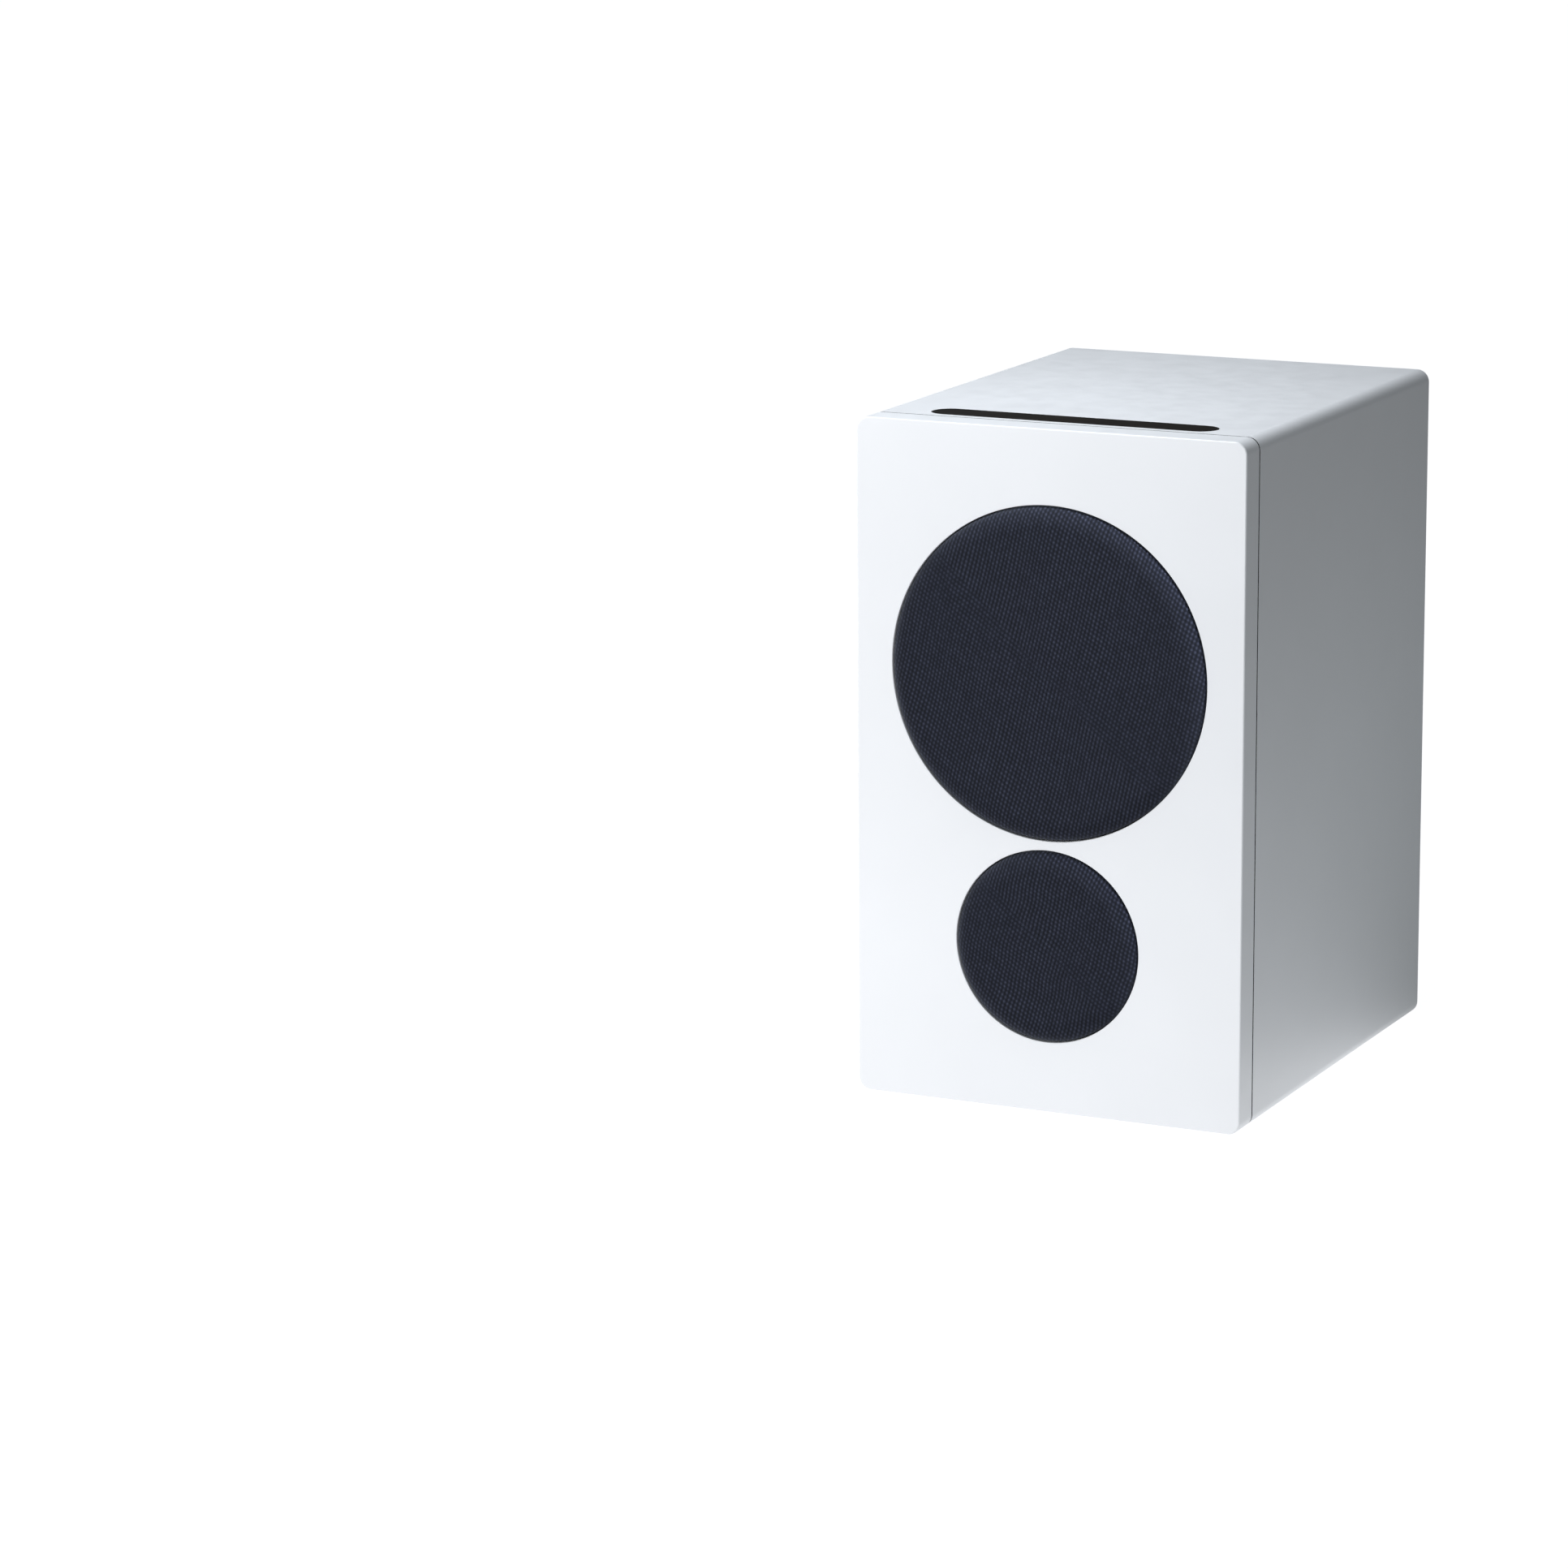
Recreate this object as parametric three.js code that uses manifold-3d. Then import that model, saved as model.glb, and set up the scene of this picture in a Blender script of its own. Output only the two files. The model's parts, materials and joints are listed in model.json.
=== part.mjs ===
// Active bookshelf speaker: a lacquered cabinet with a separate front baffle, a mid-woofer above
// a dome tweeter, two pull-off fabric grilles, a touch strip in the top and an amplifier at the back.
// Millimetres. X is right, Y is back and Z is up; the origin is on the floor under the middle.

import * as THREE from 'three';
import { mergeVertices } from 'three/addons/utils/BufferGeometryUtils.js';
import Module from 'manifold-3d';

const wasm = await Module();
wasm.setup();

// ---------------------------------------------------------------- driving dimensions

const cabinet = { width: 180, height: 300, depth: 224, corner: 5.6, wall: 12 };
const foot = { radius: 7, height: 2.5, fromSide: 22, fromFront: 28, fromBack: 14 };
const baffle = { thickness: 14.5, seam: 0.5 };
const boardThickness = 12;
const postReach = 16;
const gap = 0.3;
const sides = { opening: 48, large: 28, medium: 20, small: 14, screw: 8 };

const woofer = { height: 194, opening: 73.2, cutout: 61.5, screwCircle: 67.2, screws: 4 };
const tweeter = { height: 74, opening: 42.7, cutout: 32, screwCircle: 36.5, screws: 3 };
const grille = { clearance: 0.75, cloth: 0.55, ring: 7, setBack: 0.4, shoulder: 4, depth: 6.4 };
const strip = { length: 132, width: 16.5, thickness: 2.4, fromFront: 27.5 };
const shelf = { bottom: 114, thickness: 9, leadHole: 3 };
const port = { height: 259.5, inner: 18, wall: 2, length: 100, flange: 27, flangeThickness: 2.6, flare: 4 };
const plate = { width: 144, height: 92, thickness: 3, middle: 64.5, ledge: 8 };
const ampBoard = { width: 124, height: 68, thickness: 1.6, y: 78.4 };
const heatsink = { width: 48, height: 36, base: 3, fin: 15, finWidth: 2, fins: 6, left: 2, bottom: 61 };
const transformer = { x: -40, y: 18, inner: 11, outer: 32, height: 28, round: 6 };
const lead = { radius: 1.6, wallX: 71.5, holeY: 40 };

// ---------------------------------------------------------------- places that follow from them

const frontY = -(cabinet.depth + postReach) / 2;
const backY = frontY + cabinet.depth;
const bottomZ = foot.height;
const topZ = bottomZ + cabinet.height;
const middleZ = bottomZ + cabinet.height / 2;
const innerWidth = cabinet.width - 2 * cabinet.wall;
const innerHeight = cabinet.height - 2 * cabinet.wall;
const baffleBackY = frontY + baffle.thickness;
const wrapFrontY = baffleBackY + baffle.seam;
const driverY = baffleBackY + gap;
const backPanelY = backY - boardThickness;
const plateBackY = backY - 0.1 - plate.thickness;
const plateFaceY = plateBackY + plate.thickness;
const jackFaceY = plateFaceY + gap;
const lowJackZ = 40;
const highJackZ = 84;
const places = {
  mains: new THREE.Vector2(45, lowJackZ),
  power: new THREE.Vector2(14, lowJackZ),
  posts: new THREE.Vector2(-40.5, lowJackZ),
  inputs: new THREE.Vector2(-38, highJackZ),
  optical: new THREE.Vector2(0, highJackZ),
  pairing: new THREE.Vector2(28, highJackZ),
};

// ---------------------------------------------------------------- materials

function finish(color, roughness, metalness = 0) {
  return new THREE.MeshStandardMaterial({ color, roughness, metalness });
}

const finishes = {
  lacquer: () => finish(0xe9ebef, 0.42),
  fibreboard: () => finish(0xa98a63, 0.85),
  cloth: () => finish(0x2d303a, 0.95),
  strip: () => finish(0x17130f, 0.12),
  black: () => finish(0x17181a, 0.6),
  gloss: () => finish(0x101113, 0.25),
  rubber: () => finish(0x1c1c1d, 0.9),
  paper: () => finish(0x26272a, 0.85),
  silk: () => finish(0x1d1d20, 0.7),
  spider: () => finish(0xb58a3c, 0.9),
  ferrite: () => finish(0x3b3c3e, 0.8),
  zinc: () => finish(0xb9bbb6, 0.4, 0.9),
  steel: () => finish(0x8e9194, 0.35, 1),
  aluminium: () => finish(0xb4b6b8, 0.45, 0.9),
  blackMetal: () => finish(0x1b1c1e, 0.55, 0.6),
  copper: () => finish(0xb06a3c, 0.4, 1),
  gold: () => finish(0xd2a74a, 0.3, 1),
  board: () => finish(0x12492f, 0.5),
  varnish: () => finish(0xc9a227, 0.5),
  lead: () => finish(0x8f1f1c, 0.6),
};

// ---------------------------------------------------------------- solids from three.js geometry

function closed(geometry) {
  geometry.deleteAttribute('normal');
  geometry.deleteAttribute('uv');
  const merged = mergeVertices(geometry.index ? geometry.toNonIndexed() : geometry, 1e-4);
  return new wasm.Manifold(new wasm.Mesh({
    numProp: 3,
    vertProperties: new Float32Array(merged.attributes.position.array),
    triVerts: new Uint32Array(merged.index.array),
  }));
}

function geometryOf(body) {
  const mesh = body.getMesh();
  const geometry = new THREE.BufferGeometry();
  geometry.setAttribute('position', new THREE.BufferAttribute(new Float32Array(mesh.vertProperties), 3));
  geometry.setIndex(new THREE.BufferAttribute(new Uint32Array(mesh.triVerts), 1));
  geometry.computeVertexNormals();
  return geometry;
}

function cut(geometry, ...tools) {
  const left = tools.reduce((body, tool) => body.subtract(closed(tool)), closed(geometry));
  return geometryOf(left);
}

function join(...geometries) {
  const [first, ...rest] = geometries.map(closed);
  return geometryOf(rest.reduce((body, piece) => body.add(piece), first));
}

// A flat outline in X and Z, given thickness along Y from nearY to farY.
function slab(outline, nearY, farY, curveSegments = 8) {
  const geometry = new THREE.ExtrudeGeometry(outline, {
    depth: farY - nearY, bevelEnabled: false, curveSegments,
  });
  return geometry.rotateX(Math.PI / 2).translate(0, farY, 0);
}

// A closed profile of [radius, y] points turned about the Y axis, with outward faces either way.
function turned(profile, segments) {
  const points = profile.map(([radius, y]) => new THREE.Vector2(radius, y));
  if (THREE.ShapeUtils.area(points) < 0) points.reverse();
  return new THREE.LatheGeometry([...points, points[0].clone()], segments);
}

// A flat ring, a washer or a tube about the Y axis.
function washer(inner, outer, nearY, farY, segments) {
  return turned([[inner, nearY], [outer, nearY], [outer, farY], [inner, farY]], segments);
}

// A round rod along Y at a place given in X and Z.
function rod(radius, nearY, farY, segments, place = new THREE.Vector2()) {
  const geometry = new THREE.CylinderGeometry(radius, radius, farY - nearY, segments);
  return geometry.translate(place.x, (nearY + farY) / 2, place.y);
}

function block(width, height, nearY, farY, place = new THREE.Vector2()) {
  return new THREE.BoxGeometry(width, farY - nearY, height).translate(place.x, (nearY + farY) / 2, place.y);
}

function roundedRectangle(width, height, corner, steps) {
  const x = width / 2 - corner;
  const y = height / 2 - corner;
  const corners = [[x, y, 0], [-x, y, 90], [-x, -y, 180], [x, -y, 270]];
  const points = corners.flatMap(([cx, cy, from]) => arc([cx, cy], corner, from, from + 90, steps));
  return new THREE.Shape(points.map(([along, up]) => new THREE.Vector2(along, up)));
}

function stadium(length, width) {
  const shape = new THREE.Shape();
  const radius = width / 2;
  const x = length / 2 - radius;
  shape.absarc(x, 0, radius, -Math.PI / 2, Math.PI / 2);
  shape.absarc(-x, 0, radius, Math.PI / 2, Math.PI * 1.5);
  return shape;
}

// Points on an arc about a centre, from one angle to another, both in degrees.
function arc(centre, radius, from, to, steps) {
  return Array.from({ length: steps + 1 }, (_, i) => {
    const angle = THREE.MathUtils.degToRad(from + ((to - from) * i) / steps);
    return [centre[0] + radius * Math.cos(angle), centre[1] + radius * Math.sin(angle)];
  });
}

// Places spaced evenly round a circle, in X and Z.
function ring(count, radius, start, middle = 0) {
  return Array.from({ length: count }, (_, i) => {
    const angle = THREE.MathUtils.degToRad(start + (360 * i) / count);
    return new THREE.Vector2(radius * Math.cos(angle), middle + radius * Math.sin(angle));
  });
}

function piece(name, geometry, material) {
  const mesh = new THREE.Mesh(geometry, material);
  mesh.name = name;
  return mesh;
}

function assembly(pieces, y = 0, z = 0) {
  const group = new THREE.Group();
  group.add(...pieces);
  group.position.set(0, y, z);
  return group;
}

const wooferScrews = ring(woofer.screws, woofer.screwCircle, 45);
const tweeterScrews = ring(tweeter.screws, tweeter.screwCircle, 90);
const wooferZ = bottomZ + woofer.height;
const tweeterZ = bottomZ + tweeter.height;
const pilotRadius = 2.2;

// ---------------------------------------------------------------- cabinet

function makeWrap() {
  const outline = roundedRectangle(cabinet.width, cabinet.height, cabinet.corner, 5);
  outline.holes.push(roundedRectangle(innerWidth, innerHeight, 0.2, 1));
  const tube = slab(outline, wrapFrontY, backY).translate(0, 0, middleZ);
  const stripY = frontY + strip.fromFront;
  const pocketFloor = topZ - strip.thickness - gap;
  const pocket = new THREE.ExtrudeGeometry(stadium(strip.length + 2 * gap, strip.width + 2 * gap), {
    depth: 10, bevelEnabled: false, curveSegments: 8,
  }).translate(0, stripY, pocketFloor);
  const slot = new THREE.BoxGeometry(112, 11, 2 * cabinet.wall).translate(0, stripY, topZ - cabinet.wall);
  return piece('cabinet_wrap', cut(tube, pocket, slot), finishes.lacquer());
}

function makeFrontBaffle() {
  const outline = roundedRectangle(cabinet.width, cabinet.height, cabinet.corner, 5);
  for (const driver of [woofer, tweeter]) {
    const opening = new THREE.Path();
    opening.absarc(0, driver.height - cabinet.height / 2, driver.opening, 0, Math.PI * 2, true);
    outline.holes.push(opening);
  }
  const geometry = slab(outline, frontY, baffleBackY, sides.opening / 2).translate(0, 0, middleZ);
  return piece('front_baffle', geometry, finishes.lacquer());
}

// A board that fills the inside of the wrap between two depths.
function innerPanel(nearY, farY) {
  const middle = new THREE.Vector2(0, middleZ);
  return block(innerWidth - 2 * gap, innerHeight - 2 * gap, nearY, farY, middle);
}

function makeSubBaffle() {
  const farY = driverY + boardThickness;
  const panel = innerPanel(driverY, farY);
  const pilots = [
    ...wooferScrews.map((place) => place.clone().add(new THREE.Vector2(0, wooferZ))),
    ...tweeterScrews.map((place) => place.clone().add(new THREE.Vector2(0, tweeterZ))),
  ];
  const tools = [
    rod(woofer.cutout, driverY - 1, farY + 1, sides.large, new THREE.Vector2(0, wooferZ)),
    rod(tweeter.cutout, driverY - 1, farY + 1, sides.medium, new THREE.Vector2(0, tweeterZ)),
    ...pilots.map((place) => rod(pilotRadius, driverY - 1, farY + 1, sides.screw, place)),
  ];
  return piece('sub_baffle', cut(panel, ...tools), finishes.fibreboard());
}

function makeBackPanel() {
  const panel = innerPanel(backPanelY, backY);
  const middle = new THREE.Vector2(0, plate.middle);
  const rebate = block(plate.width + 2 * gap, plate.height + 2 * gap, plateBackY - gap, backY + 1, middle);
  const windowWidth = plate.width - 2 * plate.ledge;
  const windowHeight = plate.height - 2 * plate.ledge;
  const window = block(windowWidth, windowHeight, backPanelY - 1, backY, middle);
  const portHole = rod(port.inner + port.wall + gap, backPanelY - 1, backY + 1, sides.medium,
    new THREE.Vector2(0, bottomZ + port.height));
  return piece('back_panel', cut(panel, rebate, window, portHole), finishes.lacquer());
}

function makeShelf() {
  const nearY = driverY + boardThickness + gap;
  const farY = backPanelY - gap;
  const middle = new THREE.Vector2(0, shelf.bottom + shelf.thickness / 2);
  const board = block(innerWidth - 2 * gap, shelf.thickness, nearY, farY, middle);
  const hole = new THREE.CylinderGeometry(shelf.leadHole, shelf.leadHole, 3 * shelf.thickness, sides.screw);
  hole.rotateX(Math.PI / 2).translate(lead.wallX, lead.holeY, middle.y);
  return piece('chamber_shelf', cut(board, hole), finishes.fibreboard());
}

function makeFeet() {
  const x = cabinet.width / 2 - foot.fromSide;
  const corners = {
    front_left: [-x, frontY + foot.fromFront],
    front_right: [x, frontY + foot.fromFront],
    rear_left: [-x, backY - foot.fromBack],
    rear_right: [x, backY - foot.fromBack],
  };
  return Object.entries(corners).map(([corner, [footX, footY]]) => {
    const disc = new THREE.CylinderGeometry(foot.radius, foot.radius - 0.6, foot.height, sides.small);
    disc.rotateX(Math.PI / 2).translate(footX, footY, foot.height / 2);
    return piece(`foot_${corner}`, disc, finishes.rubber());
  });
}

function makePort() {
  const outer = port.inner + port.wall;
  const mouthY = backY + gap + port.flangeThickness;
  const profile = [
    [outer, mouthY - port.length],
    [port.inner, mouthY - port.length],
    ...arc([port.inner + port.flare, mouthY - port.flare], port.flare, 180, 90, 3),
    [port.flange - 1, mouthY],
    [port.flange, mouthY - 1],
    [port.flange, backY + gap],
    [outer, backY + gap],
  ];
  const tube = turned(profile, sides.medium).translate(0, 0, bottomZ + port.height);
  return piece('port_tube', tube, finishes.black());
}

// ---------------------------------------------------------------- woofer, about its own axis
// y counts from the front of the sub-baffle: negative is towards the listener.

const flangeFace = -4.8;
const coneEdge = 50;
const coneNeck = { radius: 13.5, y: 14.2 };
const magnetFront = 37.2;

function makeBasket() {
  const frame = turned([
    [71, flangeFace], [71, -1.8], [61, -1.8], [60.5, 9.2], [45.5, 23.2], [39.2, 23.2], [39.2, 36.9],
    [20, 36.9],
    [20, 34.9], [37.2, 34.9], [37.2, 21.2], [43.8, 21.2], [58.6, 8.2], [59.5, -1.8], [59.5, flangeFace],
  ], sides.medium);
  const windows = ring(6, 52, 30).map((place) => {
    const window = block(32, 28, 10.4, 20);
    return window.rotateY(-Math.atan2(place.y, place.x)).translate(place.x, 0, place.y);
  });
  const holes = wooferScrews.map((place) => rod(pilotRadius, -6, 0, sides.screw, place));
  return piece('woofer_basket', cut(frame, ...windows, ...holes), finishes.blackMetal());
}

function makeGasket() {
  const flat = washer(62, 70.5, -1.5, -gap, sides.medium);
  const holes = wooferScrews.map((place) => rod(pilotRadius, -3, 1, sides.screw, place));
  return piece('woofer_gasket', cut(flat, ...holes), finishes.rubber());
}

function makeSurround() {
  const roll = { middle: 54.7, radius: 4.6 };
  const face = flangeFace - gap - 0.8;
  const skin = (radius, y) => arc([roll.middle, y], radius, 180, 360, 4);
  const profile = [
    [47.6, face],
    ...skin(roll.radius, face),
    [63.4, face],
    [63.4, face + 0.8],
    ...skin(roll.radius - 0.8, face + 0.8).reverse(),
    [47.6, face + 0.8],
  ];
  return piece('woofer_surround', turned(profile, sides.large), finishes.rubber());
}

function makeCone() {
  const profile = [
    [coneEdge, flangeFace], [47.5, flangeFace], [32, 2.6], [coneNeck.radius, coneNeck.y],
    [coneNeck.radius, coneNeck.y + 1.3], [32, 3.8], [47, -3.8], [coneEdge, -3.9],
  ];
  return piece('woofer_cone', turned(profile, sides.large), finishes.paper());
}

function dome(rimRadius, rimY, height, thickness, steps, segments) {
  const outside = Array.from({ length: steps + 1 }, (_, i) => {
    const radius = (rimRadius * i) / steps;
    return [radius, rimY - height * (1 - (radius / rimRadius) ** 2)];
  });
  const inside = outside.map(([radius, y]) => [radius, y + thickness]).reverse();
  return turned([...outside, ...inside], segments);
}

function makeDustCap() {
  return piece('woofer_dust_cap', dome(15.5, 12.2, 5, 0.7, 3, sides.small), finishes.rubber());
}

function makeWooferCoil() {
  const profile = [[12.4, 12.6], [13, 12.6], [13, 36], [13.3, 36.4], [13.3, 46], [12.4, 46]];
  return piece('woofer_voice_coil', turned(profile, sides.medium), finishes.copper());
}

function makeSpider() {
  const waves = Array.from({ length: 5 }, (_, i) => [17 + 4.5 * i, 20.5 + (i % 2 ? 0.7 : -0.7)]);
  const front = [[13.4, 20.1], ...waves, [38.4, 20.1], [43.3, 20.1]];
  const back = front.map(([radius, y]) => [radius, y + 0.8]).reverse();
  return piece('woofer_spider', turned([...front, ...back], sides.medium), finishes.spider());
}

function makeWooferMotor() {
  const plateRing = washer(13.9, 40, magnetFront, 42.2, sides.medium);
  const magnet = washer(17, 45, 42.5, 57.5, sides.medium);
  const yoke = turned([
    [4, magnetFront], [11.8, magnetFront], [11.8, 57.8], [40, 57.8], [40, 62.8], [4, 62.8],
  ], sides.medium);
  return [
    piece('woofer_top_plate', plateRing, finishes.zinc()),
    piece('woofer_magnet', magnet, finishes.ferrite()),
    piece('woofer_yoke', yoke, finishes.zinc()),
  ];
}

function screw(name, place, headY, head, shank) {
  const body = turned([
    [0, headY], [head.radius, headY + 0.5], [head.radius, headY + head.height],
    [shank.radius, headY + head.height], [shank.radius, headY + shank.length], [0, headY + shank.length + 2],
  ], sides.screw);
  return piece(name, body.translate(place.x, 0, place.y), finishes.steel());
}

function makeWoofer() {
  const head = { radius: 3.3, height: 2 };
  const shank = { radius: 1.8, length: 13 };
  const headY = flangeFace - gap - head.height;
  const screws = wooferScrews.map((place, i) => screw(`woofer_screw_${i + 1}`, place, headY, head, shank));
  const pieces = [
    makeBasket(), makeGasket(), makeSurround(), makeCone(), makeDustCap(), makeWooferCoil(), makeSpider(),
    ...makeWooferMotor(), ...screws,
  ];
  return assembly(pieces, driverY, wooferZ);
}

// ---------------------------------------------------------------- tweeter, about its own axis

function makeTweeter() {
  const faceplate = turned([
    [41, -3.3], [41, -gap], [31, -gap], [31, 7], [18, 7], [18, -0.2], [22, -2.2], [27, -3.3],
  ], sides.medium);
  const holes = tweeterScrews.map((place) => rod(pilotRadius, -5, 1, sides.screw, place));
  const cap = Array.from({ length: 4 }, (_, i) => [4.2 * i, 1 - 5.2 * (1 - (i / 3.1) ** 2)]);
  const roll = arc([14.8, 1], 1.5, 180, 360, 3);
  const membrane = [...cap, ...roll, [17.5, 1]];
  const underside = membrane.map(([radius, y]) => [radius, y + 0.5]).reverse();
  const head = { radius: 2.9, height: 1.7 };
  const shank = { radius: 1.7, length: 12 };
  const headY = -3.3 - gap - head.height;
  const pieces = [
    piece('tweeter_faceplate', cut(faceplate, ...holes), finishes.black()),
    piece('tweeter_dome', turned([...membrane, ...underside], sides.medium), finishes.silk()),
    piece('tweeter_voice_coil', washer(12.1, 12.6, 1.9, 11, sides.medium), finishes.copper()),
    piece('tweeter_top_plate', washer(13, 30, 7.3, 10.3, sides.medium), finishes.zinc()),
    piece('tweeter_magnet', washer(16, 30, 10.6, 20.6, sides.medium), finishes.ferrite()),
    piece('tweeter_yoke', turned([
      [4, 7.3], [11.7, 7.3], [11.7, 20.9], [30, 20.9], [30, 24.9], [4, 24.9],
    ], sides.medium), finishes.zinc()),
    piece('tweeter_rear_cup', turned([
      [20, 25.2], [20, 45], [0, 45], [0, 43.4], [18.4, 43.4], [18.4, 25.2],
    ], sides.small), finishes.black()),
    ...tweeterScrews.map((place, i) => screw(`tweeter_screw_${i + 1}`, place, headY, head, shank)),
  ];
  return assembly(pieces, driverY, tweeterZ);
}

// ---------------------------------------------------------------- grilles

function makeGrille(name, driver, middle) {
  const clothRadius = driver.opening - grille.clearance;
  const faceY = frontY + grille.setBack;
  const backOfRing = faceY + grille.depth;
  const edge = clothRadius - grille.shoulder;
  const inset = grille.cloth + gap;
  const frameRadius = clothRadius - inset;
  const shoulderY = faceY + grille.shoulder;
  const cloth = turned([
    [0, faceY],
    ...arc([edge, shoulderY], grille.shoulder, 270, 360, 2),
    [clothRadius, backOfRing - gap],
    [clothRadius - grille.cloth, backOfRing - gap],
    ...arc([edge, shoulderY], grille.shoulder - grille.cloth, 360, 270, 2),
    [0, faceY + grille.cloth],
  ], sides.large);
  const frame = turned([
    [frameRadius - grille.ring, faceY + inset],
    ...arc([edge, shoulderY], grille.shoulder - inset, 270, 360, 2),
    [frameRadius, backOfRing],
    [frameRadius - grille.ring, backOfRing],
  ], sides.large);
  return assembly([
    piece(`${name}_grille_cloth`, cloth, finishes.cloth()),
    piece(`${name}_grille_frame`, frame, finishes.black()),
  ], 0, middle);
}

// ---------------------------------------------------------------- touch strip

function makeStrip() {
  const lens = new THREE.ExtrudeGeometry(stadium(strip.length, strip.width), {
    depth: strip.thickness, bevelEnabled: false, curveSegments: 8,
  }).translate(0, 0, topZ - strip.thickness);
  const boardSize = { length: 108, width: 9, thickness: 1.6 };
  const boardTop = topZ - strip.thickness - gap;
  const board = new THREE.BoxGeometry(boardSize.length, boardSize.width, boardSize.thickness);
  board.translate(0, 0, boardTop - boardSize.thickness / 2);
  return assembly([
    piece('control_strip', lens, finishes.strip()),
    piece('touch_board', board, finishes.board()),
  ], frontY + strip.fromFront, 0);
}

// ---------------------------------------------------------------- amplifier and connectors

const inlet = { width: 22.4, height: 14, bezelWidth: 30, bezelHeight: 18, bezel: 1.6, depth: 18 };
const rocker = { width: 11.6, half: 8, face: 5, slope: 11, pivotDepth: 6 };
const rockerFrame = {
  width: 14.2, height: 20.2, bezelWidth: 16.6, bezelHeight: 22.6, bezel: 1.6, depth: 14,
};
const post = { spacing: 19, stud: 2.9, knob: 7, washer: 6.6, washerThickness: 1.6 };
const jack = { sleeve: 4.15, spacing: 16 };
const optical = { side: 12.6, mouth: 8.6, proud: 1.2, depth: 21 };
const button = { radius: 3, flange: 4.2 };

function postPlaces() {
  return [-0.5, 0.5].map((side) => places.posts.clone().add(new THREE.Vector2(side * post.spacing, 0)));
}

function jackPlaces() {
  return [-0.5, 0.5].map((side) => places.inputs.clone().add(new THREE.Vector2(side * jack.spacing, 0)));
}

function makeAmpPlate() {
  const sheet = block(plate.width, plate.height, plateBackY, plateFaceY, new THREE.Vector2(0, plate.middle));
  const nearY = plateBackY - 1;
  const farY = plateFaceY + 1;
  const slack = 2 * gap;
  const holes = [
    block(inlet.width + slack, inlet.height + slack, nearY, farY, places.mains),
    block(rockerFrame.width + slack, rockerFrame.height + slack, nearY, farY, places.power),
    block(optical.side + slack, optical.side + slack, nearY, farY, places.optical),
    rod(button.radius + gap, nearY, farY, sides.small, places.pairing),
    ...postPlaces().map((place) => rod(4.6, nearY, farY, sides.small, place)),
    ...jackPlaces().map((place) => rod(jack.sleeve + gap, nearY, farY, sides.small, place)),
  ];
  return piece('amp_plate', cut(sheet, ...holes), finishes.blackMetal());
}

function makeInlet() {
  const faceY = jackFaceY + inlet.bezel;
  const bezel = block(inlet.bezelWidth, inlet.bezelHeight, jackFaceY, faceY);
  const body = block(inlet.width, inlet.height, faceY - inlet.depth, jackFaceY + 0.5);
  const cavityFloor = faceY - 14;
  const cavity = slab(stadium(19.4, 10.8), cavityFloor, faceY + 1, 5);
  const pins = [-4.3, 4.3].map((x) => {
    const place = new THREE.Vector2(x, 0);
    return rod(1.2, cavityFloor - 1, faceY - 3, sides.screw, place);
  });
  const shell = cut(join(bezel, body), cavity);
  const socket = join(shell, ...pins).translate(places.mains.x, 0, places.mains.y);
  return piece('mains_inlet', socket, finishes.black());
}

function makePowerSwitch() {
  const faceY = jackFaceY + rockerFrame.bezel;
  const bezel = block(rockerFrame.bezelWidth, rockerFrame.bezelHeight, jackFaceY, faceY);
  const bodyBackY = faceY - rockerFrame.depth - 2;
  const body = block(rockerFrame.width, rockerFrame.height, bodyBackY, jackFaceY + 0.5);
  const cavity = block(12.4, 18.8, faceY - rockerFrame.depth, faceY + 1);
  const frame = cut(join(bezel, body), cavity).translate(places.power.x, 0, places.power.y);

  const rise = Math.tan(THREE.MathUtils.degToRad(rocker.slope)) * rocker.half;
  const section = new THREE.Shape([
    [rocker.half, rocker.face + rise],
    [0, rocker.face],
    [-rocker.half, rocker.face + rise],
    ...arc([0, 0], 6, 190, 350, 5),
  ].map(([along, out]) => new THREE.Vector2(along, out)));
  const key = new THREE.ExtrudeGeometry(section, { depth: rocker.width, bevelEnabled: false });
  key.translate(0, 0, -rocker.width / 2);
  key.applyMatrix4(new THREE.Matrix4().makeBasis(
    new THREE.Vector3(0, 0, 1), new THREE.Vector3(0, 1, 0), new THREE.Vector3(-1, 0, 0),
  ));
  key.rotateX(THREE.MathUtils.degToRad(-rocker.slope));
  key.translate(places.power.x, faceY - rocker.pivotDepth, places.power.y);
  return [piece('power_switch_frame', frame, finishes.black()), piece('power_rocker', key, finishes.gloss())];
}

function knobOutline() {
  const flutes = 14;
  const points = Array.from({ length: 2 * flutes }, (_, i) => {
    const angle = (Math.PI * i) / flutes;
    const radius = i % 2 ? post.knob - 0.6 : post.knob;
    return new THREE.Vector2(radius * Math.cos(angle), radius * Math.sin(angle));
  });
  const outline = new THREE.Shape(points);
  const bore = new THREE.Path();
  bore.absarc(0, 0, post.stud + gap, 0, Math.PI * 2, true);
  outline.holes.push(bore);
  return outline;
}

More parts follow.
